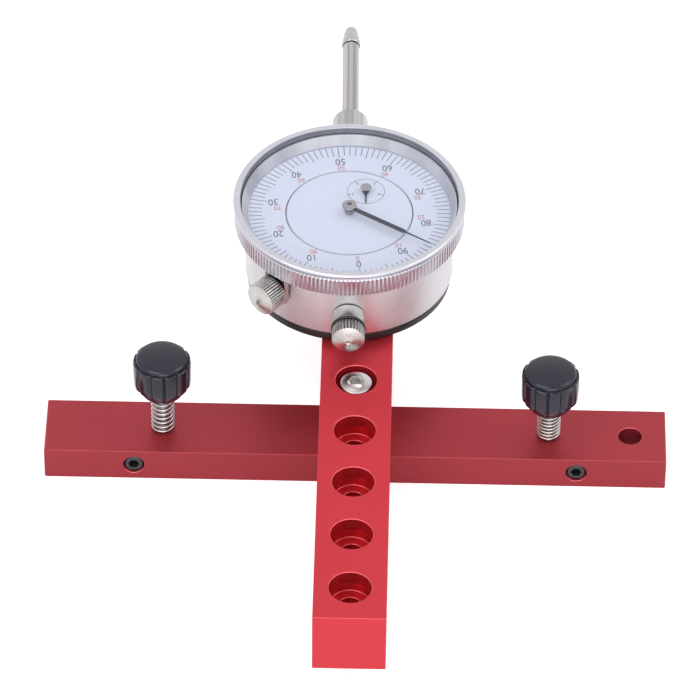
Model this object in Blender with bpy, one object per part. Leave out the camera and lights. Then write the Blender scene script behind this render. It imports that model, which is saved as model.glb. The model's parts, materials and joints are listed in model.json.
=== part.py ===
"""Mitre-slot alignment gauge: a one-inch dial indicator on an arm bolted across a mitre bar.

Metres, +Z up. The origin lies on the bar's underside, below the clamp bolt. +X runs along the bar and
+Y along the arm, towards the indicator's contact point.
"""
import math

import bmesh
import bpy
from mathutils import Matrix, Vector

# Finish of the meshes
MERGE_DISTANCE = 0.000002
SMOOTH_ANGLE = math.radians(35.0)

# Clearances
SEAT_GAP = 0.0003
RUNNING_GAP = 0.0003
CUT_OVERRUN = 0.0010

# Mitre bar
BAR_LENGTH = 0.1610
BAR_WIDTH = 0.01905
BAR_HEIGHT = 0.0094
BAR_EDGE = 0.0004
END_HOLE_DIAMETER = 0.0061
END_HOLE_INSET = 0.0093

# Knobs, their studs and springs
KNOB_INSET = 0.0305
KNOB_DIAMETER = 0.0149
KNOB_NECK_DIAMETER = 0.0076
KNOB_WAIST_DIAMETER = 0.0116
KNOB_WAIST_RISE = 0.0017
KNOB_HEIGHT = 0.0126
KNOB_DOME = 0.0009
KNOB_DISC_DIAMETER = 0.0130
KNOB_DISC_EDGE = 0.0010
KNOB_SIDE = 0.0077
KNOB_LOBES = 12
KNOB_LOBE_DEPTH = 0.0006
LEFT_SPRING_HEIGHT = 0.0120
RIGHT_SPRING_HEIGHT = 0.0096
SHORTEST_SPRING_HEIGHT = 0.0063
SPRING_OUTER_DIAMETER = 0.0062
SPRING_WIRE = 0.0006
SPRING_TURNS = 8
STUD_DIAMETER = 0.0040
STUD_IN_KNOB = 0.0060
STUD_CHAMFER = 0.0004

# Side screws and their nylon plugs
SIDE_SCREW_OFFSET = 0.0073
SIDE_SCREW_DIAMETER = 0.0050
SIDE_SCREW_LENGTH = 0.0080
SIDE_SCREW_RECESS = 0.0004
SIDE_SCREW_SOCKET = 0.0025
SIDE_SCREW_SOCKET_DEPTH = 0.0025
PLUG_RECESS = 0.0001

# Arm and its clamp bolt
ARM_FRONT = 0.0869
ARM_REAR = 0.0540
ARM_WIDTH = 0.0184
ARM_HEIGHT = 0.01783
ARM_EDGE = 0.0005
HOLE_PITCH = 0.0190
HOLE_COUNT = 5
COUNTERBORE_DIAMETER = 0.0107
BOLT_DIAMETER = 0.0050
BOLT_HEAD_DIAMETER = 0.0084
BOLT_HEAD_HEIGHT = 0.0050
BOLT_HEAD_SINK = 0.00095
BOLT_HEAD_EDGE = 0.0004
BOLT_SOCKET = 0.0040
BOLT_SOCKET_DEPTH = 0.0026
BOLT_END_RISE = 0.0020
STUD_END_RISE = 0.0008

# Indicator on the arm
DIAL_X = -0.00275
DIAL_Y = 0.04095
INDICATOR_YAW = math.radians(0.8)

# Back cover with its lug, and the lug's clamp screw
COVER_INSET = 0.00045
COVER_THICKNESS = 0.0024
LUG_THICKNESS = 0.00635
LUG_WIDTH = 0.0160
LUG_HOLE_DIAMETER = 0.00635
LUG_HOLE_DROP = 0.0080
SLOT_GAP = 0.0004
SLOT_FRONT_GAP = 0.0025
LUG_SCREW_DIAMETER = 0.0050
LUG_SCREW_HEAD_DIAMETER = 0.0095
LUG_SCREW_HEAD_HEIGHT = 0.0028
LUG_SCREW_BITE = 0.0065
LUG_SCREW_SOCKET = 0.0030
LUG_SCREW_SOCKET_DEPTH = 0.0016
COVER_SCREW_COUNT = 4
COVER_SCREW_INSET = 0.0018
COVER_SCREW_DIAMETER = 0.0018
COVER_SCREW_HEAD_DIAMETER = 0.0036
COVER_SCREW_HEAD_HEIGHT = 0.0009
COVER_SCREW_BITE = 0.0040
COVER_BOSS_DIAMETER = 0.0048
COVER_BOSS_HEIGHT = 0.0055

# Case
CASE_DIAMETER = 0.0544
CASE_WALL = 0.0022
CASE_HEIGHT = 0.01747
WEB_SINK = 0.0016
WEB_THICKNESS = 0.0016
DIAL_BOSS_DIAMETER = 0.0310
ARBOR_HOLE_DIAMETER = 0.0018

# Bezel, its wire, the crystal and the dial
BEZEL_SKIRT = 0.0016
BEZEL_HEIGHT = 0.0072
BEZEL_OVERHANG = 0.00307
BEZEL_KNURL_OVERHANG = 0.0028
BEZEL_KNURL_HEIGHT = 0.0053
BEZEL_GROOVE = 0.0004
BEZEL_BORE_STEP = 0.0011
BEZEL_LIP = 0.0011
WIRE_DIAMETER = 0.0005
WIRE_DROP = 0.0008
WIRE_OPENING = math.radians(20.0)
DIAL_THICKNESS = 0.0004
INNER_DIAL_DIAMETER = 0.0328
REFLECTOR_HEIGHT = 0.0028
REFLECTOR_FOOT_WALL = 0.0016
REFLECTOR_HEAD_WALL = 0.0004
CRYSTAL_THICKNESS = 0.0012

# Bezel clamp
CLAMP_ANGLE = math.radians(41.0)
CLAMP_DROP = 0.0050
CLAMP_SHOE_THICKNESS = 0.0016
CLAMP_SHOE_WIDTH = 0.0070
CLAMP_SHOE_FOOT = 0.0032
CLAMP_KNOB_DIAMETER = 0.0088
CLAMP_KNOB_LENGTH = 0.0053
CLAMP_KNOB_CONE = 0.0015
CLAMP_SCREW_DIAMETER = 0.0020
CLAMP_SCREW_BITE = 0.0018

# Stem, bushes and dust cap
SPINDLE_RISE = 0.00647
STEM_DIAMETER = 0.009525
STEM_LENGTH = 0.02285
STEM_BORE_DIAMETER = 0.0078
STEM_EDGE = 0.0004
STEM_BUSH_LENGTH = 0.0080
STEM_BUSH_LIP = 0.0004
NECK_DIAMETER = 0.0084
NECK_LENGTH = 0.0043
BUSH_SHANK_DIAMETER = 0.0072
BUSH_THREAD_DIAMETER = 0.0064
BUSH_THREAD_LENGTH = 0.0034
CAP_SEAL_DIAMETER = 0.0090
CAP_SEAL_THICKNESS = 0.0008
CAP_DIAMETER = 0.0085
CAP_KNURL_LENGTH = 0.0037
CAP_CONE = 0.00115
CAP_END_WALL = 0.0006

# Spindle, its contact point and pins
SPINDLE_DIAMETER = 0.0045
SPINDLE_TOP = 0.0099
SPINDLE_REACH = 0.03125
SPINDLE_TRAVEL = 0.0254
CONTACT_LENGTH = 0.0076
CONTACT_COLLAR_DIAMETER = 0.00506
CONTACT_COLLAR_LENGTH = 0.0028
CONTACT_NOSE_DIAMETER = 0.0032
CONTACT_THREAD_DIAMETER = 0.0025
CONTACT_THREAD_LENGTH = 0.0035
PIN_DIAMETER = 0.0016
PIN_SINK = 0.0008
GUIDE_PIN_REACH = 0.0026
SPRING_PIN_REACH = 0.0038

# Guide plate, return spring and its post
GUIDE_PLATE_WIDTH = 0.0064
GUIDE_PLATE_HEIGHT = 0.0038
GUIDE_END_MARGIN = 0.0006
GUIDE_WALL_GAP = 0.0016
GUIDE_FLOOR = 0.0008
RETURN_SPRING_DIAMETER = 0.0026
RETURN_SPRING_BORE = 0.0014
SPRING_POST_INSET = 0.0028
SPRING_POST_DIAMETER = 0.0018

# Gear train: the rack pinion's pitch is 0.025 in, so one inch of travel turns it once
RACK_PITCH = 0.000635
RACK_PINION_TEETH = 40
RACK_SPARE_TEETH = 8
MAIN_GEAR_TEETH = 100
CENTRE_PINION_TEETH = 10
GEAR_MODULE = 0.000173
TOOTH_TIP = 0.00005
TOOTH_ROOT = 0.00015
COUNTER_ANGLE = math.radians(63.5)
RACK_ARBOR_ANGLE = math.radians(-52.0)
BRIDGE_DIAMETER = 0.0310
BRIDGE_OFFSET = 0.0020
BRIDGE_THICKNESS = 0.0009
GEAR_THICKNESS = 0.0006
GEAR_RISE = 0.0007
GEAR_STEP = 0.0012
GEAR_BORE_DIAMETER = 0.0026
ARBOR_DIAMETER = 0.0020
ARBOR_SHAFT_DIAMETER = 0.0011
PIVOT_DIAMETER = 0.0008
PIVOT_LENGTH = 0.0009
RACK_PINION_HEIGHT = 0.0024
RACK_PINION_DROP = 0.0012
PILLAR_DIAMETER = 0.0035
PILLAR_PLACES = ((-0.0085, -0.0080), (-0.0085, 0.0080), (0.0140, 0.0005))
PILLAR_SCREW_DIAMETER = 0.0016
PILLAR_SCREW_HEAD_DIAMETER = 0.0030
PILLAR_SCREW_HEAD_HEIGHT = 0.0007
PILLAR_SCREW_BITE = 0.0010

# Hairspring of the take-up gear
HAIRSPRING_INNER = 0.0015
HAIRSPRING_PITCH = 0.0006
HAIRSPRING_TURNS = 4
HAIRSPRING_RIBBON = 0.0002
HAIRSPRING_HEIGHT = 0.0005
HAIRSPRING_STUD_DIAMETER = 0.0010

# Hands
MAIN_HAND_ANGLE = math.radians(56.5)
MAIN_HAND_REACH = 0.0252
MAIN_HAND_BAR_REACH = 0.0173
MAIN_HAND_BAR_WIDTH = 0.0013
MAIN_HAND_NEEDLE_WIDTH = 0.0005
MAIN_HAND_TIP_WIDTH = 0.0003
MAIN_HUB_DIAMETER = 0.0039
MAIN_HUB_HEIGHT = 0.00275
MAIN_HAND_BAR_RISE = 0.0016
HAND_THICKNESS = 0.0002
COUNTER_HAND_REACH = 0.0049
COUNTER_HAND_WIDTH = 0.0007
COUNTER_HUB_DIAMETER = 0.0029
COUNTER_HUB_FOOT_DIAMETER = 0.0016
COUNTER_HUB_HEIGHT = 0.0012

# Facet counts
LARGE_SIDES = 48
ROUND_SIDES = 24
SMALL_SIDES = 16
PIN_SIDES = 10
DOME_STEPS = 3
COIL_POINTS = 9
HAIRSPRING_POINTS = 14

# Levels above the bar's underside
ARM_BASE = BAR_HEIGHT + SEAT_GAP
ARM_TOP = ARM_BASE + ARM_HEIGHT
COVER_BASE = ARM_TOP + SEAT_GAP
COVER_TOP = COVER_BASE + COVER_THICKNESS
CASE_BASE = COVER_TOP + SEAT_GAP
CASE_TOP = CASE_BASE + CASE_HEIGHT
WEB_TOP = CASE_TOP - WEB_SINK
WEB_BASE = WEB_TOP - WEB_THICKNESS
SPINDLE_Z = CASE_BASE + SPINDLE_RISE
BEZEL_BASE = CASE_TOP - BEZEL_SKIRT
BEZEL_TOP = BEZEL_BASE + BEZEL_HEIGHT
DIAL_BASE = CASE_TOP + SEAT_GAP
DIAL_FACE = DIAL_BASE + DIAL_THICKNESS
REFLECTOR_BASE = DIAL_FACE + SEAT_GAP
CRYSTAL_BASE = REFLECTOR_BASE + REFLECTOR_HEIGHT + SEAT_GAP
BRIDGE_BASE = SPINDLE_Z + SPINDLE_DIAMETER / 2 + RUNNING_GAP
BRIDGE_TOP = BRIDGE_BASE + BRIDGE_THICKNESS
MAIN_GEAR_BASE = BRIDGE_TOP + GEAR_RISE
TAKEUP_GEAR_BASE = MAIN_GEAR_BASE + GEAR_THICKNESS + GEAR_STEP
HAND_BASE = DIAL_FACE + SEAT_GAP
LUG_HOLE_Z = ARM_TOP - LUG_HOLE_DROP
CLAMP_Z = BEZEL_BASE - CLAMP_DROP

# Radii and places that follow from the sizes above
KNOB_X = BAR_LENGTH / 2 - KNOB_INSET
SIDE_SCREW_X = KNOB_X + SIDE_SCREW_OFFSET
CASE_RADIUS = CASE_DIAMETER / 2
CASE_BORE_RADIUS = CASE_RADIUS - CASE_WALL
COVER_RADIUS = CASE_RADIUS - COVER_INSET
COVER_SCREW_CIRCLE = CASE_BORE_RADIUS - COVER_SCREW_INSET
STEM_END = CASE_RADIUS + STEM_LENGTH
SPINDLE_END = STEM_END + SPINDLE_REACH
SPRING_POST_PLACE = CASE_BORE_RADIUS - SPRING_POST_INSET
GUIDE_SLOT_END = CASE_BORE_RADIUS - GUIDE_WALL_GAP - GUIDE_END_MARGIN
PIN_PLACE = SPINDLE_TRAVEL + PIN_DIAMETER / 2 + GUIDE_END_MARGIN - GUIDE_SLOT_END
RACK_PINION_RADIUS = RACK_PINION_TEETH * RACK_PITCH / math.tau
MAIN_GEAR_RADIUS = MAIN_GEAR_TEETH * GEAR_MODULE / 2
CENTRE_PINION_RADIUS = CENTRE_PINION_TEETH * GEAR_MODULE / 2
ARBOR_DISTANCE = MAIN_GEAR_RADIUS + CENTRE_PINION_RADIUS
PINION_TOOTH_ANGLE = RACK_ARBOR_ANGLE + math.pi / CENTRE_PINION_TEETH
COUNTER_PLACE = Vector((math.cos(COUNTER_ANGLE), math.sin(COUNTER_ANGLE), 0)) * ARBOR_DISTANCE
RACK_ARBOR_PLACE = Vector((math.cos(RACK_ARBOR_ANGLE), math.sin(RACK_ARBOR_ANGLE), 0)) * ARBOR_DISTANCE
RACK_PITCH_LINE = RACK_ARBOR_PLACE.x - RACK_PINION_RADIUS

# Turns that lay a piece made along +Z along another line
ALONG_Y = (-math.pi / 2, 0, 0)
AGAINST_Y = (math.pi / 2, 0, 0)
ALONG_X = (0, math.pi / 2, 0)
AGAINST_X = (0, -math.pi / 2, 0)


def clear_scene():
    for thing in list(bpy.data.objects):
        bpy.data.objects.remove(thing, do_unlink=True)


def material(name, colour, metallic, roughness):
    made = bpy.data.materials.new(name)
    made.use_nodes = True
    shader = made.node_tree.nodes["Principled BSDF"]
    shader.inputs["Base Color"].default_value = (*colour, 1)
    shader.inputs["Metallic"].default_value = metallic
    shader.inputs["Roughness"].default_value = roughness
    return made


RED_ANODISED = ((0.50, 0.02, 0.04), 0.8, 0.35)
SILVER = ((0.72, 0.70, 0.70), 1.0, 0.30)
NICKEL = ((0.78, 0.76, 0.72), 1.0, 0.18)
STEEL = ((0.60, 0.60, 0.60), 1.0, 0.25)
BLACK_STEEL = ((0.03, 0.03, 0.03), 0.6, 0.45)
BLACK_PLASTIC = ((0.03, 0.03, 0.04), 0.0, 0.45)
BLACK_ENAMEL = ((0.02, 0.02, 0.02), 0.1, 0.35)
BRASS = ((0.70, 0.52, 0.22), 1.0, 0.28)
NYLON = ((0.85, 0.84, 0.78), 0.0, 0.50)
RUBBER = ((0.02, 0.02, 0.02), 0.0, 0.70)
DIAL_WHITE = ((0.82, 0.85, 0.92), 0.0, 0.55)
HAND_GREY = ((0.10, 0.10, 0.11), 0.3, 0.40)
CLEAR = ((0.95, 0.97, 0.98), 0.0, 0.05)


def turned(bm, profile, sides, matrix=Matrix()):
    """Add the body that a (radius, height) outline sweeps about Z; a radius of 0 closes it on the axis."""
    made = bmesh.new()
    verts = [made.verts.new((radius, 0, height)) for radius, height in profile]
    closed = profile[0][0] > 0 or profile[-1][0] > 0
    pairs = list(zip(verts, verts[1:]))
    if closed:
        pairs.append((verts[-1], verts[0]))
    edges = [made.edges.new(pair) for pair in pairs]
    bmesh.ops.spin(made, geom=verts + edges, cent=(0, 0, 0), axis=(0, 0, 1), angle=math.tau,
                   steps=sides, use_merge=True)
    merge_close(made)
    bmesh.ops.recalc_face_normals(made, faces=made.faces)
    add_body(bm, made, matrix)


def merge_close(bm):
    bmesh.ops.remove_doubles(bm, verts=bm.verts, dist=MERGE_DISTANCE)


def add_body(bm, made, matrix):
    made.transform(matrix)
    holder = bpy.data.meshes.new("holder")
    made.to_mesh(holder)
    made.free()
    bm.from_mesh(holder)
    bpy.data.meshes.remove(holder)


def prism(bm, outline, low, high, matrix=Matrix()):
    """Add an (x, y) outline extruded from one height to another."""
    made = bmesh.new()
    face = made.faces.new([made.verts.new((x, y, low)) for x, y in outline])
    raised = bmesh.ops.extrude_face_region(made, geom=[face])["geom"]
    moved = [item for item in raised if isinstance(item, bmesh.types.BMVert)]
    bmesh.ops.translate(made, verts=moved, vec=(0, 0, high - low))
    bmesh.ops.recalc_face_normals(made, faces=made.faces)
    add_body(bm, made, matrix)


def lofted(bm, rings):
    """Add a body through rings of (x, y, z) points, each with as many points as the next."""
    made = bmesh.new()
    rows = [[made.verts.new(point) for point in ring] for ring in rings]
    made.faces.new(list(reversed(rows[0])))
    made.faces.new(rows[-1])
    count = len(rows[0])
    for lower, upper in zip(rows, rows[1:]):
        for i in range(count):
            made.faces.new((lower[i], lower[(i + 1) % count], upper[(i + 1) % count], upper[i]))
    bmesh.ops.recalc_face_normals(made, faces=made.faces)
    add_body(bm, made, Matrix())


def rod(bm, radius, low, high, sides, matrix=Matrix()):
    turned(bm, [(0, low), (radius, low), (radius, high), (0, high)], sides, matrix)


def block(bm, low, high):
    prism(bm, [(low[0], low[1]), (high[0], low[1]), (high[0], high[1]), (low[0], high[1])], low[2], high[2])


def hexagon(across_flats):
    corner = across_flats / math.sqrt(3)
    return [(corner * math.cos(i * math.tau / 6), corner * math.sin(i * math.tau / 6)) for i in range(6)]


def toothed(teeth, pitch_radius, phase):
    """Outline of a fine-toothed wheel, with a tooth's tip at the phase angle."""
    points = []
    for i in range(2 * teeth):
        radius = pitch_radius + (TOOTH_TIP if i % 2 == 0 else -TOOTH_ROOT)
        angle = phase + i * math.pi / teeth
        points.append((radius * math.cos(angle), radius * math.sin(angle)))
    return points


def moved_to(x, y, z=0.0):
    return Matrix.Translation((x, y, z))


def empty(name, parent, location, rotation=(0, 0, 0)):
    made = bpy.data.objects.new(name, None)
    bpy.context.scene.collection.objects.link(made)
    made.parent = parent
    made.location = location
    made.rotation_euler = rotation
    made.empty_display_size = SEAT_GAP
    return made


def placed(name, bm, parent, location, rotation):
    mesh = bpy.data.meshes.new(name)
    bm.to_mesh(mesh)
    bm.free()
    mesh.shade_smooth()
    mesh.set_sharp_from_angle(angle=SMOOTH_ANGLE)
    made = bpy.data.objects.new(name, mesh)
    bpy.context.scene.collection.objects.link(made)
    made.parent = parent
    made.location = location
    made.rotation_euler = rotation
    return made


def piece(name, bm, finish, parent=None, location=(0, 0, 0), rotation=(0, 0, 0)):
    made = placed(name, bm, parent, location, rotation)
    made.data.materials.append(material(name, *finish))
    return made


def change(target, bm, operation="DIFFERENCE", location=None, rotation=None):
    """Cut a tool's body from a piece, or join the two; the tool lies as the piece does unless placed."""
    name = target.name + "_tool_" + str(len(target.modifiers) + 1)
    tool = placed(name, bm, target.parent, target.location if location is None else location,
                  target.rotation_euler if rotation is None else rotation)
    tool.hide_render = True
    tool.display_type = "WIRE"
    step = target.modifiers.new(name, "BOOLEAN")
    step.operation = operation
    step.solver = "EXACT"
    step.object = tool


def bevelled(target, width):
    step = target.modifiers.new("edges", "BEVEL")
    step.width = width
    step.segments = 1
    step.limit_method = "ANGLE"


def mitre_bar():
    bm = bmesh.new()
    block(bm, (-BAR_LENGTH / 2, -BAR_WIDTH / 2, 0), (BAR_LENGTH / 2, BAR_WIDTH / 2, BAR_HEIGHT))
    bar = piece("mitre_bar", bm, RED_ANODISED)
    bevelled(bar, BAR_EDGE)
    holes = bmesh.new()
    top = BAR_HEIGHT + CUT_OVERRUN
    rod(holes, BOLT_DIAMETER / 2 + SEAT_GAP, BOLT_END_RISE - SEAT_GAP, top, SMALL_SIDES)
    stud_radius = STUD_DIAMETER / 2 + SEAT_GAP
    for x, radius in ((-KNOB_X, stud_radius), (KNOB_X, stud_radius),
                      (BAR_LENGTH / 2 - END_HOLE_INSET, END_HOLE_DIAMETER / 2)):
        rod(holes, radius, -CUT_OVERRUN, top, SMALL_SIDES, moved_to(x, 0))
    for x in (-SIDE_SCREW_X, SIDE_SCREW_X):
        across = moved_to(x, 0, BAR_HEIGHT / 2) @ Matrix.Rotation(ALONG_Y[0], 4, "X")
        reach = BAR_WIDTH / 2 + CUT_OVERRUN
        rod(holes, SIDE_SCREW_DIAMETER / 2 + SEAT_GAP, -reach, reach, SMALL_SIDES, across)
    change(bar, holes)


def socket_screw(name, finish, parent, location, rotation, sizes, socket):
    """A screw along Z with its head's top at 0: head and shank sizes, then its hexagon socket."""
    head_diameter, head_height, diameter, length, edge = sizes
    bm = bmesh.new()
    turned(bm, [(0, -head_height - length), (diameter / 2 - edge, -head_height - length),
                (diameter / 2, -head_height - length + edge), (diameter / 2, -head_height),
                (head_diameter / 2, -head_height), (head_diameter / 2, -edge),
                (head_diameter / 2 - edge, 0), (0, 0)], ROUND_SIDES)
    screw = piece(name, bm, finish, parent, location, rotation)
    hole = bmesh.new()
    prism(hole, hexagon(socket[0]), -socket[1], CUT_OVERRUN)
    change(screw, hole)
    return screw


def arm_bolt():
    top = ARM_TOP - BOLT_HEAD_SINK
    length = top - BOLT_HEAD_HEIGHT - BOLT_END_RISE
    socket_screw("arm_bolt", STEEL, None, (0, 0, top), (0, 0, 0),
                 (BOLT_HEAD_DIAMETER, BOLT_HEAD_HEIGHT, BOLT_DIAMETER, length, BOLT_HEAD_EDGE),
                 (BOLT_SOCKET, BOLT_SOCKET_DEPTH))


def lobed_ring(radius, depth, z):
    """One ring round the knob: each lobe has four points, two on its crown and two in its grooves."""
    points = []
    crown_share = 0.62
    flank_share = 0.10
    step = math.tau / KNOB_LOBES
    for i in range(KNOB_LOBES):
        for share, reach in ((-crown_share / 2 - flank_share, radius - depth), (-crown_share / 2, radius),
                             (crown_share / 2, radius), (crown_share / 2 + flank_share, radius - depth)):
            angle = (i + share) * step
            points.append((reach * math.cos(angle), reach * math.sin(angle), z))
    return points


def coil_points(low, high):
    """Centre line of a knob's spring between two heights."""
    radius = (SPRING_OUTER_DIAMETER - SPRING_WIRE) / 2
    count = SPRING_TURNS * COIL_POINTS
    points = []
    for i in range(count + 1):
        angle = i * math.tau / COIL_POINTS
        points.append(Vector((radius * math.cos(angle), radius * math.sin(angle),
                              low + (high - low) * i / count)))
    return points


def least_gap(points, wire):
    """Smallest distance between the wire's faces, from points at least half a turn apart."""
    apart = COIL_POINTS // 2
    return min((a - b).length for i, a in enumerate(points) for b in points[i + apart:]) - wire


def knob_spring(name, parent, height):
    inset = SEAT_GAP + SPRING_WIRE / 2
    points = coil_points(inset, height - inset)
    print(name, "least gap to itself, mm:", round(least_gap(points, SPRING_WIRE) / 0.001, 2))
    curve = bpy.data.curves.new(name, "CURVE")
    curve.dimensions = "3D"
    curve.bevel_depth = SPRING_WIRE / 2
    curve.bevel_resolution = 1
    curve.use_fill_caps = True
    spline = curve.splines.new("POLY")
    spline.points.add(len(points) - 1)
    for target, point in zip(spline.points, points):
        target.co = (*point, 1)
    spring = bpy.data.objects.new(name, curve)
    bpy.context.scene.collection.objects.link(spring)
    spring.parent = parent
    curve.materials.append(material(name, *STEEL))


def knob(side_name, x, spring_height):
    """A thumb knob with its stud; its spring stands on the bar and carries the knob's neck."""
    axis = empty(side_name + "_knob_axis", None, (x, 0, BAR_HEIGHT))
    bm = bmesh.new()
    side_top = KNOB_HEIGHT - KNOB_DISC_EDGE
    side_low = side_top - KNOB_SIDE
    neck = KNOB_NECK_DIAMETER / 2
    crown = KNOB_DIAMETER / 2
    edge = KNOB_LOBE_DEPTH / 2
    lofted(bm, [lobed_ring(neck, 0, 0), lobed_ring(KNOB_WAIST_DIAMETER / 2, 0, KNOB_WAIST_RISE),
                lobed_ring(crown - edge, KNOB_LOBE_DEPTH, side_low - edge),
                lobed_ring(crown, KNOB_LOBE_DEPTH, side_low + edge),
                lobed_ring(crown, KNOB_LOBE_DEPTH, side_top - edge),
                lobed_ring(crown - edge, KNOB_LOBE_DEPTH, side_top)])
    body = piece(side_name + "_knob", bm, BLACK_PLASTIC, axis, (0, 0, spring_height))
    disc = bmesh.new()
    radius = KNOB_DISC_DIAMETER / 2
    dome = [(radius - KNOB_DISC_EDGE / 2, KNOB_HEIGHT)]
    for i in range(1, DOME_STEPS + 1):
        share = i / DOME_STEPS
        dome.append((dome[0][0] * (1 - share), KNOB_HEIGHT + KNOB_DOME * (1 - (1 - share) ** 2)))
    turned(disc, [(0, side_low), (radius, side_low), (radius, KNOB_HEIGHT - KNOB_DISC_EDGE / 2), *dome],
           ROUND_SIDES)
    change(body, disc, "UNION")
    hole = bmesh.new()
    rod(hole, STUD_DIAMETER / 2 + SEAT_GAP, -CUT_OVERRUN, STUD_IN_KNOB + SEAT_GAP, SMALL_SIDES)
    change(body, hole)
    stud = bmesh.new()
    reach = SHORTEST_SPRING_HEIGHT + BAR_HEIGHT - STUD_END_RISE
    radius = STUD_DIAMETER / 2
    turned(stud, [(0, -reach), (radius - STUD_CHAMFER, -reach), (radius, -reach + STUD_CHAMFER),
                  (radius, STUD_IN_KNOB), (0, STUD_IN_KNOB)], SMALL_SIDES)
    piece(side_name + "_stud", stud, STEEL, axis, (0, 0, spring_height))
    knob_spring(side_name + "_knob_spring", axis, spring_height)


def side_screw(side_name, x):
    """A set screw in the bar's front face, and the nylon plug that it pushes out of the rear face."""
    axis = empty(side_name + "_side_screw_axis", None, (x, 0, BAR_HEIGHT / 2), AGAINST_Y)
    radius = SIDE_SCREW_DIAMETER / 2
    top = BAR_WIDTH / 2 - SIDE_SCREW_RECESS
    low = top - SIDE_SCREW_LENGTH
    bm = bmesh.new()
    turned(bm, [(0, low), (radius - STUD_CHAMFER, low), (radius, low + STUD_CHAMFER),
                (radius, top - STUD_CHAMFER), (radius - STUD_CHAMFER, top), (0, top)], SMALL_SIDES)
    screw = piece(side_name + "_side_screw", bm, BLACK_STEEL, axis)
    hole = bmesh.new()
    prism(hole, hexagon(SIDE_SCREW_SOCKET), top - SIDE_SCREW_SOCKET_DEPTH, top + CUT_OVERRUN)
    change(screw, hole)
    plug = bmesh.new()
    rear = -BAR_WIDTH / 2 + PLUG_RECESS
    turned(plug, [(0, rear), (radius - STUD_CHAMFER, rear), (radius, rear + STUD_CHAMFER),
                  (radius, low - SEAT_GAP), (0, low - SEAT_GAP)], SMALL_SIDES)
    piece(side_name + "_plug", plug, NYLON, axis)


def arm(axis):
    bm = bmesh.new()
    block(bm, (-ARM_WIDTH / 2, -ARM_FRONT, ARM_BASE), (ARM_WIDTH / 2, ARM_REAR, ARM_TOP))
    made = piece("arm", bm, RED_ANODISED, axis)
    bevelled(made, ARM_EDGE)
    holes = bmesh.new()
    seat = ARM_TOP - BOLT_HEAD_SINK - BOLT_HEAD_HEIGHT - SEAT_GAP
    wide = COUNTERBORE_DIAMETER / 2
    narrow = BOLT_DIAMETER / 2 + SEAT_GAP
    for i in range(HOLE_COUNT):
        turned(holes, [(0, ARM_BASE - CUT_OVERRUN), (narrow, ARM_BASE - CUT_OVERRUN), (narrow, seat),
                       (wide, seat), (wide, ARM_TOP + CUT_OVERRUN), (0, ARM_TOP + CUT_OVERRUN)],
               ROUND_SIDES, moved_to(0, -i * HOLE_PITCH))
    change(made, holes)
    slot = bmesh.new()
    half = LUG_THICKNESS / 2 + SLOT_GAP
    front = DIAL_Y - LUG_WIDTH / 2 - SLOT_FRONT_GAP
    block(slot, (DIAL_X - half, front, ARM_BASE - CUT_OVERRUN),
          (DIAL_X + half, ARM_REAR + CUT_OVERRUN, ARM_TOP + CUT_OVERRUN))
    change(made, slot)
    cross = bmesh.new()
    rod(cross, LUG_SCREW_DIAMETER / 2 + SEAT_GAP, -ARM_WIDTH / 2 - CUT_OVERRUN,
        DIAL_X + half + LUG_SCREW_BITE + SEAT_GAP, SMALL_SIDES)
    change(made, cross, location=(0, DIAL_Y, LUG_HOLE_Z), rotation=ALONG_X)


def lug_clamp_screw(axis):
    head_top = -ARM_WIDTH / 2 - SEAT_GAP - LUG_SCREW_HEAD_HEIGHT
    length = ARM_WIDTH / 2 + SEAT_GAP + DIAL_X + LUG_THICKNESS / 2 + SLOT_GAP + LUG_SCREW_BITE
    socket_screw("lug_clamp_screw", BLACK_STEEL, axis, (head_top, DIAL_Y, LUG_HOLE_Z), AGAINST_X,
                 (LUG_SCREW_HEAD_DIAMETER, LUG_SCREW_HEAD_HEIGHT, LUG_SCREW_DIAMETER, length, STUD_CHAMFER),
                 (LUG_SCREW_SOCKET, LUG_SCREW_SOCKET_DEPTH))


def cover_screw_places():
    places = []
    for i in range(COVER_SCREW_COUNT):
        angle = (i + 0.5) * math.tau / COVER_SCREW_COUNT
        places.append((COVER_SCREW_CIRCLE * math.cos(angle), COVER_SCREW_CIRCLE * math.sin(angle)))
    return places


def back_cover(frame):
    bm = bmesh.new()
    rod(bm, COVER_RADIUS, COVER_BASE, COVER_TOP, LARGE_SIDES)
    cover = piece("back_cover", bm, BLACK_ENAMEL, frame)
    lug = bmesh.new()
    half = LUG_WIDTH / 2
    outline = [(COVER_BASE + COVER_THICKNESS / 2, -half)]
    for i in range(ROUND_SIDES // 2 + 1):
        angle = -math.pi / 2 - i * math.pi / (ROUND_SIDES // 2)
        outline.append((LUG_HOLE_Z + half * math.cos(angle), half * math.sin(angle)))
    outline.append((COVER_BASE + COVER_THICKNESS / 2, half))
    prism(lug, [(-height, across) for height, across in outline], -LUG_THICKNESS / 2, LUG_THICKNESS / 2)
    change(cover, lug, "UNION", rotation=ALONG_X)
    holes = bmesh.new()
    rod(holes, LUG_HOLE_DIAMETER / 2, -LUG_THICKNESS / 2 - CUT_OVERRUN, LUG_THICKNESS / 2 + CUT_OVERRUN,
        SMALL_SIDES)
    change(cover, holes, location=(0, 0, LUG_HOLE_Z), rotation=ALONG_X)
    screws = bmesh.new()
    wide = COVER_SCREW_HEAD_DIAMETER / 2 + SEAT_GAP
    narrow = COVER_SCREW_DIAMETER / 2 + SEAT_GAP
    step = COVER_BASE + COVER_SCREW_HEAD_HEIGHT + SEAT_GAP
    for x, y in cover_screw_places():
        turned(screws, [(0, COVER_BASE - CUT_OVERRUN), (wide, COVER_BASE - CUT_OVERRUN), (wide, step),
                        (narrow, step), (narrow, COVER_TOP + CUT_OVERRUN), (0, COVER_TOP + CUT_OVERRUN)],
               PIN_SIDES, moved_to(x, y))
    change(cover, screws)


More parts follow.
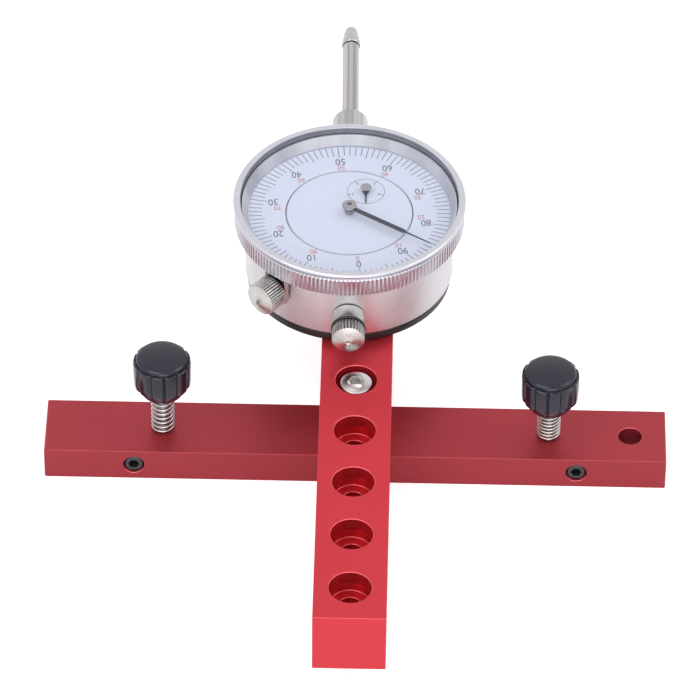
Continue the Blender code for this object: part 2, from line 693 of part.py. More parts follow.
def cover_screws(frame):
    wide = COVER_SCREW_HEAD_DIAMETER / 2
    narrow = COVER_SCREW_DIAMETER / 2
    step = COVER_BASE + COVER_SCREW_HEAD_HEIGHT
    top = CASE_BASE + COVER_SCREW_BITE
    for i, (x, y) in enumerate(cover_screw_places()):
        bm = bmesh.new()
        turned(bm, [(0, COVER_BASE), (wide, COVER_BASE), (wide, step), (narrow, step), (narrow, top),
                    (0, top)], PIN_SIDES)
        piece("cover_screw_" + str(i + 1), bm, STEEL, frame, (x, y, 0))


def case(frame):
    """The cup with its web, whose middle boss carries the fixed dial; the bezel turns round its rim."""
    bm = bmesh.new()
    groove_radius = CASE_RADIUS + RUNNING_GAP / 2 - WIRE_DIAMETER / 2 - RUNNING_GAP
    groove_middle = CASE_TOP - WIRE_DROP
    groove_half = WIRE_DIAMETER / 2 + RUNNING_GAP
    boss = DIAL_BOSS_DIAMETER / 2
    hole = ARBOR_HOLE_DIAMETER / 2
    turned(bm, [(CASE_BORE_RADIUS, CASE_BASE), (CASE_RADIUS, CASE_BASE),
                (CASE_RADIUS, groove_middle - groove_half), (groove_radius, groove_middle - groove_half),
                (groove_radius, groove_middle + groove_half), (CASE_RADIUS, groove_middle + groove_half),
                (CASE_RADIUS, CASE_TOP), (CASE_BORE_RADIUS, CASE_TOP), (CASE_BORE_RADIUS, WEB_TOP),
                (boss, WEB_TOP), (boss, CASE_TOP), (hole, CASE_TOP), (hole, WEB_BASE),
                (CASE_BORE_RADIUS, WEB_BASE)], LARGE_SIDES)
    made = piece("case", bm, SILVER, frame)
    bosses = bmesh.new()
    for x, y in cover_screw_places():
        rod(bosses, COVER_BOSS_DIAMETER / 2, CASE_BASE, CASE_BASE + COVER_BOSS_HEIGHT, SMALL_SIDES,
            moved_to(x, y))
    change(made, bosses, "UNION")
    holes = bmesh.new()
    narrow = COVER_SCREW_DIAMETER / 2 + SEAT_GAP
    for x, y in cover_screw_places():
        rod(holes, narrow, CASE_BASE - CUT_OVERRUN, CASE_BASE + COVER_SCREW_BITE + SEAT_GAP, PIN_SIDES,
            moved_to(x, y))
    rod(holes, hole, WEB_BASE - CUT_OVERRUN, CASE_TOP + CUT_OVERRUN, PIN_SIDES,
        Matrix.Translation(COUNTER_PLACE))
    rod(holes, PIVOT_DIAMETER / 2 + RUNNING_GAP, WEB_BASE - CUT_OVERRUN,
        WEB_BASE + PIVOT_LENGTH + RUNNING_GAP, PIN_SIDES, Matrix.Translation(RACK_ARBOR_PLACE))
    for x, y in PILLAR_PLACES:
        rod(holes, PILLAR_SCREW_DIAMETER / 2 + SEAT_GAP, WEB_BASE - CUT_OVERRUN,
            WEB_BASE + PILLAR_SCREW_BITE + SEAT_GAP, PIN_SIDES, moved_to(x, y))
    stud_x, stud_y = hairspring_stud_place()
    rod(holes, HAIRSPRING_STUD_DIAMETER / 2 + SEAT_GAP, WEB_BASE - CUT_OVERRUN,
        WEB_BASE + PIVOT_LENGTH + SEAT_GAP, PIN_SIDES, moved_to(stud_x, stud_y))
    change(made, holes)
    inside = CASE_BORE_RADIUS - CUT_OVERRUN
    outside = CASE_RADIUS + CUT_OVERRUN
    for radius, turn, z in ((STEM_DIAMETER / 2 + SEAT_GAP, ALONG_Y, SPINDLE_Z),
                            (BUSH_SHANK_DIAMETER / 2 + SEAT_GAP, AGAINST_Y, SPINDLE_Z),
                            (CLAMP_SCREW_DIAMETER / 2 + RUNNING_GAP, clamp_turn(), CLAMP_Z)):
        bore = bmesh.new()
        rod(bore, radius, inside, outside, SMALL_SIDES)
        change(made, bore, location=(0, 0, z), rotation=turn)


def stem(frame):
    bm = bmesh.new()
    radius = STEM_DIAMETER / 2
    bore = STEM_BORE_DIAMETER / 2
    root = CASE_BORE_RADIUS
    turned(bm, [(bore, root), (radius, root), (radius, STEM_END - STEM_EDGE),
                (radius - STEM_EDGE, STEM_END), (bore, STEM_END)], ROUND_SIDES)
    piece("stem", bm, NICKEL, frame, (0, 0, SPINDLE_Z), ALONG_Y)
    bush = bmesh.new()
    inner = SPINDLE_DIAMETER / 2 + RUNNING_GAP
    top = STEM_END - STEM_BUSH_LIP
    turned(bush, [(inner, top - STEM_BUSH_LENGTH), (bore - SEAT_GAP, top - STEM_BUSH_LENGTH),
                  (bore - SEAT_GAP, top), (inner, top)], SMALL_SIDES)
    piece("stem_bush", bush, BRASS, frame, (0, 0, SPINDLE_Z), ALONG_Y)


def upper_bush_and_cap(frame):
    """The neck fits the case's round side; its thread holds the seal and the cap."""
    place = (0, 0, SPINDLE_Z)
    bore = SPINDLE_DIAMETER / 2 + RUNNING_GAP
    neck_end = CASE_RADIUS + NECK_LENGTH
    thread_end = neck_end + BUSH_THREAD_LENGTH
    bm = bmesh.new()
    root = CASE_RADIUS - CASE_WALL / 2
    turned(bm, [(bore, root), (NECK_DIAMETER / 2, root), (NECK_DIAMETER / 2, neck_end),
                (BUSH_THREAD_DIAMETER / 2, neck_end), (BUSH_THREAD_DIAMETER / 2, thread_end),
                (bore, thread_end)], ROUND_SIDES)
    bush = piece("upper_bush", bm, NICKEL, frame, place, AGAINST_Y)
    saddle = bmesh.new()
    reach = NECK_DIAMETER
    turned(saddle, [(0, -reach), (CASE_RADIUS + SEAT_GAP, -reach), (CASE_RADIUS + SEAT_GAP, reach),
                    (0, reach)], LARGE_SIDES)
    change(bush, saddle, location=place, rotation=(0, 0, 0))
    shank = bmesh.new()
    turned(shank, [(bore, CASE_BORE_RADIUS), (BUSH_SHANK_DIAMETER / 2, CASE_BORE_RADIUS),
                   (BUSH_SHANK_DIAMETER / 2, neck_end - SEAT_GAP), (bore, neck_end - SEAT_GAP)],
           ROUND_SIDES)
    change(bush, shank, "UNION")
    seal = bmesh.new()
    seal_base = neck_end + SEAT_GAP / 2
    seal_bore = BUSH_THREAD_DIAMETER / 2 + SEAT_GAP
    seal_top = seal_base + CAP_SEAL_THICKNESS
    turned(seal, [(seal_bore, seal_base), (CAP_SEAL_DIAMETER / 2, seal_base),
                  (CAP_SEAL_DIAMETER / 2, seal_top), (seal_bore, seal_top)], ROUND_SIDES)
    piece("cap_seal", seal, RUBBER, frame, place, AGAINST_Y)
    cap = bmesh.new()
    cap_base = seal_top + SEAT_GAP / 2
    cap_end = cap_base + CAP_KNURL_LENGTH
    inner_end = cap_end + CAP_CONE - CAP_END_WALL
    turned(cap, [(seal_bore, cap_base), (CAP_DIAMETER / 2, cap_base), (CAP_DIAMETER / 2, cap_end),
                 (0, cap_end + CAP_CONE), (0, inner_end), (seal_bore, cap_end)], ROUND_SIDES)
    piece("dust_cap", cap, NICKEL, frame, place, AGAINST_Y)


def spindle(frame):
    axis = empty("spindle_axis", frame, (0, 0, SPINDLE_Z))
    radius = SPINDLE_DIAMETER / 2
    bm = bmesh.new()
    turned(bm, [(0, -SPINDLE_TOP), (radius - STUD_CHAMFER, -SPINDLE_TOP),
                (radius, -SPINDLE_TOP + STUD_CHAMFER), (radius, SPINDLE_END), (0, SPINDLE_END)],
           SMALL_SIDES)
    made = piece("spindle", bm, STEEL, axis, rotation=ALONG_Y)
    rack = bmesh.new()
    mesh_y = RACK_ARBOR_PLACE.y
    teeth = round(SPINDLE_TRAVEL / RACK_PITCH) + RACK_SPARE_TEETH
    tip_line = RACK_PITCH_LINE + TOOTH_TIP
    root_line = RACK_PITCH_LINE - TOOTH_ROOT
    first = mesh_y - RACK_SPARE_TEETH / 2 * RACK_PITCH
    outline = []
    for i in range(teeth + 1):
        outline.append((root_line, first + i * RACK_PITCH))
        outline.append((tip_line, first + (i + 0.5) * RACK_PITCH))
    outline += [(radius + CUT_OVERRUN, outline[-1][1]), (radius + CUT_OVERRUN, first)]
    prism(rack, outline, -radius - CUT_OVERRUN, radius + CUT_OVERRUN)
    change(made, rack, location=(0, 0, 0), rotation=(0, 0, 0))
    pin = PIN_DIAMETER / 2 + SEAT_GAP
    holes = bmesh.new()
    rod(holes, pin, radius - PIN_SINK - SEAT_GAP, radius + CUT_OVERRUN, PIN_SIDES)
    change(made, holes, location=(0, PIN_PLACE, 0), rotation=(math.pi, 0, 0))
    holes = bmesh.new()
    rod(holes, pin, radius - PIN_SINK - SEAT_GAP, radius + CUT_OVERRUN, PIN_SIDES)
    change(made, holes, location=(0, PIN_PLACE, 0), rotation=AGAINST_X)
    end = bmesh.new()
    rod(end, CONTACT_THREAD_DIAMETER / 2 + SEAT_GAP, SPINDLE_END - CONTACT_THREAD_LENGTH - SEAT_GAP,
        SPINDLE_END + CUT_OVERRUN, PIN_SIDES)
    change(made, end)
    for name, reach, turn in (("guide_pin", GUIDE_PIN_REACH, (math.pi, 0, 0)),
                              ("spring_pin", SPRING_PIN_REACH, AGAINST_X)):
        bm = bmesh.new()
        rod(bm, PIN_DIAMETER / 2, radius - PIN_SINK, radius + reach, PIN_SIDES)
        piece(name, bm, STEEL, axis, (0, PIN_PLACE, 0), turn)
    contact(axis)
    spring = bmesh.new()
    outer = RETURN_SPRING_DIAMETER / 2
    bore = RETURN_SPRING_BORE / 2
    low = PIN_PLACE + PIN_DIAMETER / 2 + SEAT_GAP
    high = SPRING_POST_PLACE - SPRING_POST_DIAMETER / 2 - SEAT_GAP
    turned(spring, [(bore, low), (outer, low), (outer, high), (bore, high)], PIN_SIDES)
    piece("return_spring", spring, STEEL, axis, (spring_line(), 0, 0), ALONG_Y)


def spring_line():
    return -SPINDLE_DIAMETER / 2 - SPRING_PIN_REACH + PIN_DIAMETER


def contact(axis):
    thread = CONTACT_THREAD_DIAMETER / 2
    collar = CONTACT_COLLAR_DIAMETER / 2
    nose = CONTACT_NOSE_DIAMETER / 2
    base = SPINDLE_END + SEAT_GAP
    end = SPINDLE_END + CONTACT_LENGTH
    profile = [(0, SPINDLE_END - CONTACT_THREAD_LENGTH), (thread, SPINDLE_END - CONTACT_THREAD_LENGTH),
               (thread, base), (collar, base), (collar, base + CONTACT_COLLAR_LENGTH)]
    for i in range(DOME_STEPS * 2):
        angle = i * math.pi / 2 / (DOME_STEPS * 2)
        profile.append((nose * math.cos(angle), end - nose + nose * math.sin(angle)))
    profile.append((0, end))
    bm = bmesh.new()
    turned(bm, profile, SMALL_SIDES)
    piece("contact_point", bm, STEEL, axis, rotation=ALONG_Y)


def guide_parts(frame):
    half = GUIDE_PLATE_WIDTH / 2
    slot_half = PIN_DIAMETER / 2 + RUNNING_GAP
    slot_low = PIN_PLACE - SPINDLE_TRAVEL - PIN_DIAMETER / 2 - GUIDE_END_MARGIN
    slot_high = PIN_PLACE + PIN_DIAMETER / 2 + GUIDE_END_MARGIN
    bm = bmesh.new()
    block(bm, (-half, slot_low - GUIDE_END_MARGIN, CASE_BASE),
          (half, slot_high + slot_half, CASE_BASE + GUIDE_PLATE_HEIGHT))
    plate = piece("guide_plate", bm, BRASS, frame)
    slot = bmesh.new()
    block(slot, (-slot_half, slot_low, CASE_BASE + GUIDE_FLOOR),
          (slot_half, slot_high, CASE_BASE + GUIDE_PLATE_HEIGHT + CUT_OVERRUN))
    change(plate, slot)
    post = bmesh.new()
    rod(post, SPRING_POST_DIAMETER / 2, CASE_BASE, SPINDLE_Z + RETURN_SPRING_DIAMETER / 2, PIN_SIDES)
    piece("spring_post", post, STEEL, frame, (spring_line(), SPRING_POST_PLACE, 0))


def movement_frame(frame):
    """The bridge hangs on three pillars under the case's web, just above the spindle."""
    bm = bmesh.new()
    rod(bm, BRIDGE_DIAMETER / 2, BRIDGE_BASE, BRIDGE_TOP, ROUND_SIDES, moved_to(BRIDGE_OFFSET, 0))
    bridge = piece("movement_bridge", bm, BRASS, frame)
    holes = bmesh.new()
    low = BRIDGE_BASE - CUT_OVERRUN
    high = BRIDGE_TOP + CUT_OVERRUN
    screw = PILLAR_SCREW_DIAMETER / 2 + SEAT_GAP
    for place, radius in ((Vector((0, 0, 0)), PIVOT_DIAMETER / 2), (COUNTER_PLACE, PIVOT_DIAMETER / 2),
                          (RACK_ARBOR_PLACE, ARBOR_SHAFT_DIAMETER / 2)):
        rod(holes, radius + RUNNING_GAP, low, high, PIN_SIDES, Matrix.Translation(place))
    for x, y in PILLAR_PLACES:
        rod(holes, screw, low, high, PIN_SIDES, moved_to(x, y))
    change(bridge, holes)
    base = BRIDGE_TOP + SEAT_GAP
    top = WEB_BASE - SEAT_GAP
    head_top = BRIDGE_BASE - SEAT_GAP
    head_low = head_top - PILLAR_SCREW_HEAD_HEIGHT
    screw_top = WEB_BASE + PILLAR_SCREW_BITE
    for i, (x, y) in enumerate(PILLAR_PLACES):
        number = str(i + 1)
        bm = bmesh.new()
        turned(bm, [(screw, base), (PILLAR_DIAMETER / 2, base), (PILLAR_DIAMETER / 2, top), (screw, top)],
               PIN_SIDES)
        piece("pillar_" + number, bm, BRASS, frame, (x, y, 0))
        bm = bmesh.new()
        shank = PILLAR_SCREW_DIAMETER / 2
        head = PILLAR_SCREW_HEAD_DIAMETER / 2
        turned(bm, [(0, head_low), (head, head_low), (head, head_top), (shank, head_top),
                    (shank, screw_top), (0, screw_top)], PIN_SIDES)
        piece("pillar_screw_" + number, bm, STEEL, frame, (x, y, 0))


def gear(name, axis, direction, base):
    """A thin wheel of fine teeth, bored for its arbor, in mesh with the pinion that it lies beside."""
    share = CENTRE_PINION_TEETH / MAIN_GEAR_TEETH
    phase = direction + math.pi - (PINION_TOOTH_ANGLE - direction) * share + math.pi / MAIN_GEAR_TEETH
    bm = bmesh.new()
    prism(bm, toothed(MAIN_GEAR_TEETH, MAIN_GEAR_RADIUS, phase), base, base + GEAR_THICKNESS)
    wheel = piece(name, bm, BRASS, axis)
    hole = bmesh.new()
    rod(hole, GEAR_BORE_DIAMETER / 2, base - CUT_OVERRUN, base + GEAR_THICKNESS + CUT_OVERRUN, PIN_SIDES)
    change(wheel, hole)


def rack_train(frame):
    axis = empty("rack_arbor_axis", frame, RACK_ARBOR_PLACE)
    shaft = ARBOR_SHAFT_DIAMETER / 2
    body = ARBOR_DIAMETER / 2
    pivot = PIVOT_DIAMETER / 2
    pinion_low = SPINDLE_Z - RACK_PINION_DROP
    pinion_high = pinion_low + RACK_PINION_HEIGHT
    body_low = BRIDGE_TOP + RUNNING_GAP
    body_high = WEB_BASE - RUNNING_GAP
    bm = bmesh.new()
    middle = (pinion_low + pinion_high) / 2
    turned(bm, [(0, middle), (shaft, middle), (shaft, body_low), (body, body_low), (body, body_high),
                (pivot, body_high), (pivot, WEB_BASE + PIVOT_LENGTH), (0, WEB_BASE + PIVOT_LENGTH)],
           PIN_SIDES)
    arbor = piece("rack_arbor", bm, STEEL, axis)
    pinion = bmesh.new()
    prism(pinion, toothed(RACK_PINION_TEETH, RACK_PINION_RADIUS, math.pi), pinion_low, pinion_high)
    change(arbor, pinion, "UNION")
    gear("main_gear", axis, RACK_ARBOR_ANGLE, MAIN_GEAR_BASE)


def centre_train(frame):
    axis = empty("centre_axis", frame, (0, 0, 0))
    shaft = ARBOR_SHAFT_DIAMETER / 2
    pivot = PIVOT_DIAMETER / 2
    pinion_low = BRIDGE_TOP + RUNNING_GAP
    pinion_high = TAKEUP_GEAR_BASE + GEAR_THICKNESS + RUNNING_GAP
    middle = (pinion_low + pinion_high) / 2
    bm = bmesh.new()
    turned(bm, [(0, BRIDGE_TOP - PIVOT_LENGTH), (pivot, BRIDGE_TOP - PIVOT_LENGTH), (pivot, middle),
                (shaft, middle), (shaft, DIAL_FACE), (0, DIAL_FACE)], PIN_SIDES)
    arbor = piece("centre_arbor", bm, STEEL, axis)
    pinion = bmesh.new()
    outline = toothed(CENTRE_PINION_TEETH, CENTRE_PINION_RADIUS, PINION_TOOTH_ANGLE)
    prism(pinion, outline, pinion_low, pinion_high)
    change(arbor, pinion, "UNION")
    main_hand(axis)


def main_hand(axis):
    """A stepped bar that ends in a needle, under a round hub; it points from the hub along +X."""
    hub = bmesh.new()
    radius = MAIN_HUB_DIAMETER / 2
    top = HAND_BASE + MAIN_HUB_HEIGHT
    edge = HAND_THICKNESS
    rod_profile = [(0, HAND_BASE), (radius, HAND_BASE), (radius, top - edge), (radius - edge, top), (0, top)]
    turned(hub, rod_profile, SMALL_SIDES)
    made = piece("main_hand", hub, HAND_GREY, axis, rotation=(0, 0, MAIN_HAND_ANGLE - math.pi / 2))
    bar = bmesh.new()
    half = MAIN_HAND_BAR_WIDTH / 2
    needle = MAIN_HAND_NEEDLE_WIDTH / 2
    tip = MAIN_HAND_TIP_WIDTH / 2
    low = HAND_BASE + MAIN_HAND_BAR_RISE
    prism(bar, [(0, -half), (MAIN_HAND_BAR_REACH, -half), (MAIN_HAND_BAR_REACH, -needle),
                (MAIN_HAND_REACH, -tip), (MAIN_HAND_REACH, tip), (MAIN_HAND_BAR_REACH, needle),
                (MAIN_HAND_BAR_REACH, half), (0, half)], low, low + HAND_THICKNESS)
    change(made, bar, "UNION")


def counter_train(frame):
    axis = empty("counter_axis", frame, COUNTER_PLACE)
    shaft = ARBOR_SHAFT_DIAMETER / 2
    body = ARBOR_DIAMETER / 2
    pivot = PIVOT_DIAMETER / 2
    body_low = BRIDGE_TOP + RUNNING_GAP
    body_high = WEB_BASE - RUNNING_GAP
    bm = bmesh.new()
    turned(bm, [(0, BRIDGE_TOP - PIVOT_LENGTH), (pivot, BRIDGE_TOP - PIVOT_LENGTH), (pivot, body_low),
                (body, body_low), (body, body_high), (shaft, body_high), (shaft, DIAL_FACE),
                (0, DIAL_FACE)], PIN_SIDES)
    piece("counter_arbor", bm, STEEL, axis)
    gear("takeup_gear", axis, COUNTER_ANGLE, TAKEUP_GEAR_BASE)
    hub = bmesh.new()
    foot = COUNTER_HUB_FOOT_DIAMETER / 2
    head = COUNTER_HUB_DIAMETER / 2
    top = HAND_BASE + COUNTER_HUB_HEIGHT
    turned(hub, [(0, HAND_BASE), (foot, HAND_BASE), (head, top - HAND_THICKNESS), (head, top), (0, top)],
           SMALL_SIDES)
    hand = piece("counter_hand", hub, HAND_GREY, axis, rotation=(0, 0, -math.pi / 2))
    bar = bmesh.new()
    half = COUNTER_HAND_WIDTH / 2
    prism(bar, [(0, -half), (head, -half), (COUNTER_HAND_REACH, -MAIN_HAND_TIP_WIDTH / 2),
                (COUNTER_HAND_REACH, MAIN_HAND_TIP_WIDTH / 2), (head, half), (0, half)],
          HAND_BASE + HAND_THICKNESS / 2, HAND_BASE + HAND_THICKNESS * 3 / 2)
    change(hand, bar, "UNION")


def hairspring_reach():
    return HAIRSPRING_INNER + HAIRSPRING_PITCH * HAIRSPRING_TURNS


def hairspring_stud_place():
    """The stud stands just outside the spiral's end, which lies along +X from the counter arbor."""
    reach = hairspring_reach() + HAIRSPRING_RIBBON / 2 + SEAT_GAP + HAIRSPRING_STUD_DIAMETER / 2
    return COUNTER_PLACE.x + reach, COUNTER_PLACE.y


def hairspring(frame):
    base = TAKEUP_GEAR_BASE + GEAR_THICKNESS + SEAT_GAP
    bm = bmesh.new()
    count = HAIRSPRING_TURNS * HAIRSPRING_POINTS
    outer = []
    inner = []
    for i in range(count + 1):
        angle = i * math.tau / HAIRSPRING_POINTS
        radius = HAIRSPRING_INNER + HAIRSPRING_PITCH * i / HAIRSPRING_POINTS
        for row, reach in ((outer, radius + HAIRSPRING_RIBBON / 2), (inner, radius - HAIRSPRING_RIBBON / 2)):
            row.append((reach * math.cos(angle), reach * math.sin(angle)))
    sections = [[(*inner[i], base), (*outer[i], base), (*outer[i], base + HAIRSPRING_HEIGHT),
                 (*inner[i], base + HAIRSPRING_HEIGHT)] for i in range(count + 1)]
    lofted(bm, sections)
    piece("hairspring", bm, STEEL, frame, COUNTER_PLACE)
    stud = bmesh.new()
    rod(stud, HAIRSPRING_STUD_DIAMETER / 2, base, WEB_BASE + PIVOT_LENGTH, PIN_SIDES)
    piece("hairspring_stud", stud, BRASS, frame, (*hairspring_stud_place(), 0))


def bezel_parts(frame):
    """The bezel turns on the case's rim and carries the outer scale, the reflector and the crystal."""
    axis = empty("bezel_axis", frame, (0, 0, 0))
    skirt = CASE_RADIUS + RUNNING_GAP
    bore = CASE_RADIUS + BEZEL_BORE_STEP
    wire_reach = CASE_RADIUS + RUNNING_GAP / 2 + WIRE_DIAMETER / 2 + RUNNING_GAP
    wire_middle = CASE_TOP - WIRE_DROP
    wire_half = WIRE_DIAMETER / 2 + RUNNING_GAP
    knurl = CASE_RADIUS + BEZEL_KNURL_OVERHANG
    rim = CASE_RADIUS + BEZEL_OVERHANG
    knurl_top = BEZEL_BASE + BEZEL_KNURL_HEIGHT
    profile = [(skirt, BEZEL_BASE), (knurl, BEZEL_BASE), (knurl, knurl_top - BEZEL_GROOVE),
               (knurl - BEZEL_GROOVE, knurl_top - BEZEL_GROOVE), (knurl - BEZEL_GROOVE, knurl_top)]
    rim_height = BEZEL_TOP - knurl_top
    width = rim - bore
    lean_share = 0.78
    for i in range(DOME_STEPS + 1):
        angle = i * math.pi / 2 / DOME_STEPS
        profile.append((rim - width * lean_share * (1 - math.cos(angle)),
                        knurl_top + rim_height * math.sin(angle)))
    profile += [(bore, BEZEL_TOP - BEZEL_GROOVE), (bore, CASE_TOP), (skirt, CASE_TOP),
                (skirt, wire_middle + wire_half), (wire_reach, wire_middle + wire_half),
                (wire_reach, wire_middle - wire_half), (skirt, wire_middle - wire_half)]
    bm = bmesh.new()
    turned(bm, profile, LARGE_SIDES)
    piece("bezel", bm, SILVER, axis)
    fitted = bore - SEAT_GAP
    for name, finish, inner_low, inner_high, low, high in (
            ("outer_scale", DIAL_WHITE, INNER_DIAL_DIAMETER / 2 + RUNNING_GAP,
             INNER_DIAL_DIAMETER / 2 + RUNNING_GAP, DIAL_BASE, DIAL_FACE),
            ("reflector_ring", SILVER, fitted - REFLECTOR_FOOT_WALL, fitted - REFLECTOR_HEAD_WALL,
             REFLECTOR_BASE, REFLECTOR_BASE + REFLECTOR_HEIGHT)):
        bm = bmesh.new()
        turned(bm, [(inner_low, low), (fitted, low), (fitted, high), (inner_high, high)], LARGE_SIDES)
        piece(name, bm, finish, axis)
    bm = bmesh.new()
    rod(bm, fitted, CRYSTAL_BASE, CRYSTAL_BASE + CRYSTAL_THICKNESS, LARGE_SIDES)
    piece("crystal", bm, CLEAR, axis)


def bezel_wire(frame):
    """An open ring of wire, half in the case's groove and half in the bezel's."""
    radius = CASE_RADIUS + RUNNING_GAP / 2
    half = WIRE_DIAMETER / 2
    count = LARGE_SIDES
    sections = []
    for i in range(count + 1):
        angle = WIRE_OPENING / 2 + i * (math.tau - WIRE_OPENING) / count
        sections.append([((radius + across) * math.cos(angle), (radius + across) * math.sin(angle),
                          CASE_TOP - WIRE_DROP + rise)
                         for across, rise in ((-half, 0), (0, -half), (half, 0), (0, half))])
    bm = bmesh.new()
    lofted(bm, sections)
    piece("bezel_wire", bm, STEEL, frame)


def inner_dial(frame):
    bm = bmesh.new()
    turned(bm, [(ARBOR_HOLE_DIAMETER / 2, DIAL_BASE), (INNER_DIAL_DIAMETER / 2, DIAL_BASE),
                (INNER_DIAL_DIAMETER / 2, DIAL_FACE), (ARBOR_HOLE_DIAMETER / 2, DIAL_FACE)], LARGE_SIDES)
    disc = piece("inner_dial", bm, DIAL_WHITE, frame)
    hole = bmesh.new()
    rod(hole, ARBOR_HOLE_DIAMETER / 2, DIAL_BASE - CUT_OVERRUN, DIAL_FACE + CUT_OVERRUN, PIN_SIDES,
        Matrix.Translation(COUNTER_PLACE))
    change(disc, hole)


def clamp_turn():
    return math.pi / 2, 0, -CLAMP_ANGLE


def bezel_clamp(frame):
    """A knurled knob draws its shoe in under the bezel's edge; both lie along one radius of the case."""
    axis = empty("clamp_axis", frame, (0, 0, CLAMP_Z), clamp_turn())
    shoe_in = CASE_RADIUS + SEAT_GAP
    shoe_out = shoe_in + CLAMP_SHOE_THICKNESS
    half = CLAMP_SHOE_WIDTH / 2
    bm = bmesh.new()
    block(bm, (-half, -CLAMP_SHOE_FOOT, shoe_in), (half, CLAMP_DROP - SEAT_GAP, shoe_out))
    shoe = piece("clamp_shoe", bm, NICKEL, axis)
    hole = bmesh.new()
    rod(hole, CLAMP_SCREW_DIAMETER / 2 + RUNNING_GAP, shoe_in - CUT_OVERRUN, shoe_out + CUT_OVERRUN,
        SMALL_SIDES)
    change(shoe, hole)
    knob_in = shoe_out + SEAT_GAP
    knob_out = knob_in + CLAMP_KNOB_LENGTH
    radius = CLAMP_KNOB_DIAMETER / 2
    screw = CLAMP_SCREW_DIAMETER / 2
    inner = CASE_BORE_RADIUS - CLAMP_SCREW_BITE
    knob_bm = bmesh.new()
    turned(knob_bm, [(0, inner), (screw, inner), (screw, knob_in), (radius, knob_in), (radius, knob_out),
                     (0, knob_out + CLAMP_KNOB_CONE)], ROUND_SIDES)
    piece("clamp_knob", knob_bm, NICKEL, axis)


def build():
    clear_scene()
    mitre_bar()
    arm_bolt()
    for side_name, side, height in (("left", -1, LEFT_SPRING_HEIGHT), ("right", 1, RIGHT_SPRING_HEIGHT)):
        knob(side_name, side * KNOB_X, height)
        side_screw(side_name, side * SIDE_SCREW_X)
    arm_axis = empty("arm_swing_axis", None, (0, 0, 0))
    arm(arm_axis)
    lug_clamp_screw(arm_axis)
    frame = empty("indicator_axes", arm_axis, (DIAL_X, DIAL_Y, 0), (0, 0, INDICATOR_YAW))
    for make in (back_cover, cover_screws, case, stem, upper_bush_and_cap, spindle, guide_parts,
                 movement_frame, rack_train, centre_train, counter_train, hairspring, bezel_parts,
                 bezel_wire, inner_dial, bezel_clamp):
        make(frame)


build()
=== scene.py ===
"""Mitre-slot alignment gauge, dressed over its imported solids. Metres, +Z up, in the solids' own frame."""
import json
import math

import bmesh
import bpy
from mathutils import Matrix, Vector


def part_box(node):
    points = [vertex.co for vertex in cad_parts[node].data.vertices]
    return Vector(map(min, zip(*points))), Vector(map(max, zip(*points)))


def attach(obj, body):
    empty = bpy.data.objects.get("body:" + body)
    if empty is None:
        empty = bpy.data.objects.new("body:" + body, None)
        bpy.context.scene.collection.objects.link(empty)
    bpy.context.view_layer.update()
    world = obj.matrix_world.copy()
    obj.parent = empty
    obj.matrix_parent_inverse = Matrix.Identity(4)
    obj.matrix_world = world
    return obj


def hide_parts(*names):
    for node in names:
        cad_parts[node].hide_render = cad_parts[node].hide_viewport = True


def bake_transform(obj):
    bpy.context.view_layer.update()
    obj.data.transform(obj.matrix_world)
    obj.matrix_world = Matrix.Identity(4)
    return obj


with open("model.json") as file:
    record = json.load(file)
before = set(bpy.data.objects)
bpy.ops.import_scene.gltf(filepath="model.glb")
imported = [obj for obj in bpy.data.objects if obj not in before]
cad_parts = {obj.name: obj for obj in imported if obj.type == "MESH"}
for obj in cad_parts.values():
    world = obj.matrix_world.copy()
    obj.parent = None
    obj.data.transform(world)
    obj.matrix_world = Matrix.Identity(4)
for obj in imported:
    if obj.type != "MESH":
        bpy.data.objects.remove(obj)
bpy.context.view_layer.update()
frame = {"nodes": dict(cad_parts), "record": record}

# Studio: a pale floor, three soft lamps and an even white surround that also serves as the backdrop.
# The camera stands where the photograph's did, some 1.57 m off, looking 42.5 degrees down.

def put_in_scene(name, data):
    """A new object that shows a mesh, a letter, a lamp or the camera."""
    made = bpy.data.objects.new(name, data)
    bpy.context.scene.collection.objects.link(made)
    return made


floor_half = 3.0
floor_mesh = bpy.data.meshes.new("floor")
floor_mesh.from_pydata([(-floor_half, -floor_half, 0), (floor_half, -floor_half, 0),
                        (floor_half, floor_half, 0), (-floor_half, floor_half, 0)], [], [(0, 1, 2, 3)])
floor = put_in_scene("floor", floor_mesh)

camera_place = (0.014556, -1.148580, 1.091269)
camera_yaw, camera_pitch, camera_roll = -0.01413, 0.742195, 0.009606
focal_pixels, frame_pixels, sensor_width = 6077.263, 700, 36.0
ahead = Vector((math.sin(camera_yaw) * math.cos(camera_pitch), math.cos(camera_yaw) * math.cos(camera_pitch),
                -math.sin(camera_pitch)))
level = Vector((math.cos(camera_yaw), -math.sin(camera_yaw), 0))
above = level.cross(ahead)
camera_right = level * math.cos(camera_roll) + above * math.sin(camera_roll)
camera_up = above * math.cos(camera_roll) - level * math.sin(camera_roll)
camera_data = bpy.data.cameras.new("camera")
camera_data.sensor_width = sensor_width
camera_data.lens = focal_pixels * sensor_width / frame_pixels
camera = put_in_scene("camera", camera_data)
camera.matrix_world = (Matrix.Translation(camera_place)
                       @ Matrix((camera_right, camera_up, -ahead)).transposed().to_4x4())
bpy.context.scene.camera = camera
bpy.context.scene.view_settings.view_transform = "Standard"


def soft_lamp(name, place, width, power):
    """A square soft box that faces the gauge."""
    data = bpy.data.lights.new(name, "AREA")
    data.size = width
    data.energy = power
    lamp = put_in_scene(name, data)
    lamp.location = place
    lamp.rotation_euler = (-Vector(place)).to_track_quat("-Z", "Y").to_euler()


soft_lamp("key_lamp", (-0.7, -0.6, 1.7), 1.2, 9.5)
soft_lamp("side_lamp", (1.1, 0.1, 1.3), 0.9, 4.0)
soft_lamp("front_lamp", (0.2, -1.8, 0.55), 1.3, 12.0)


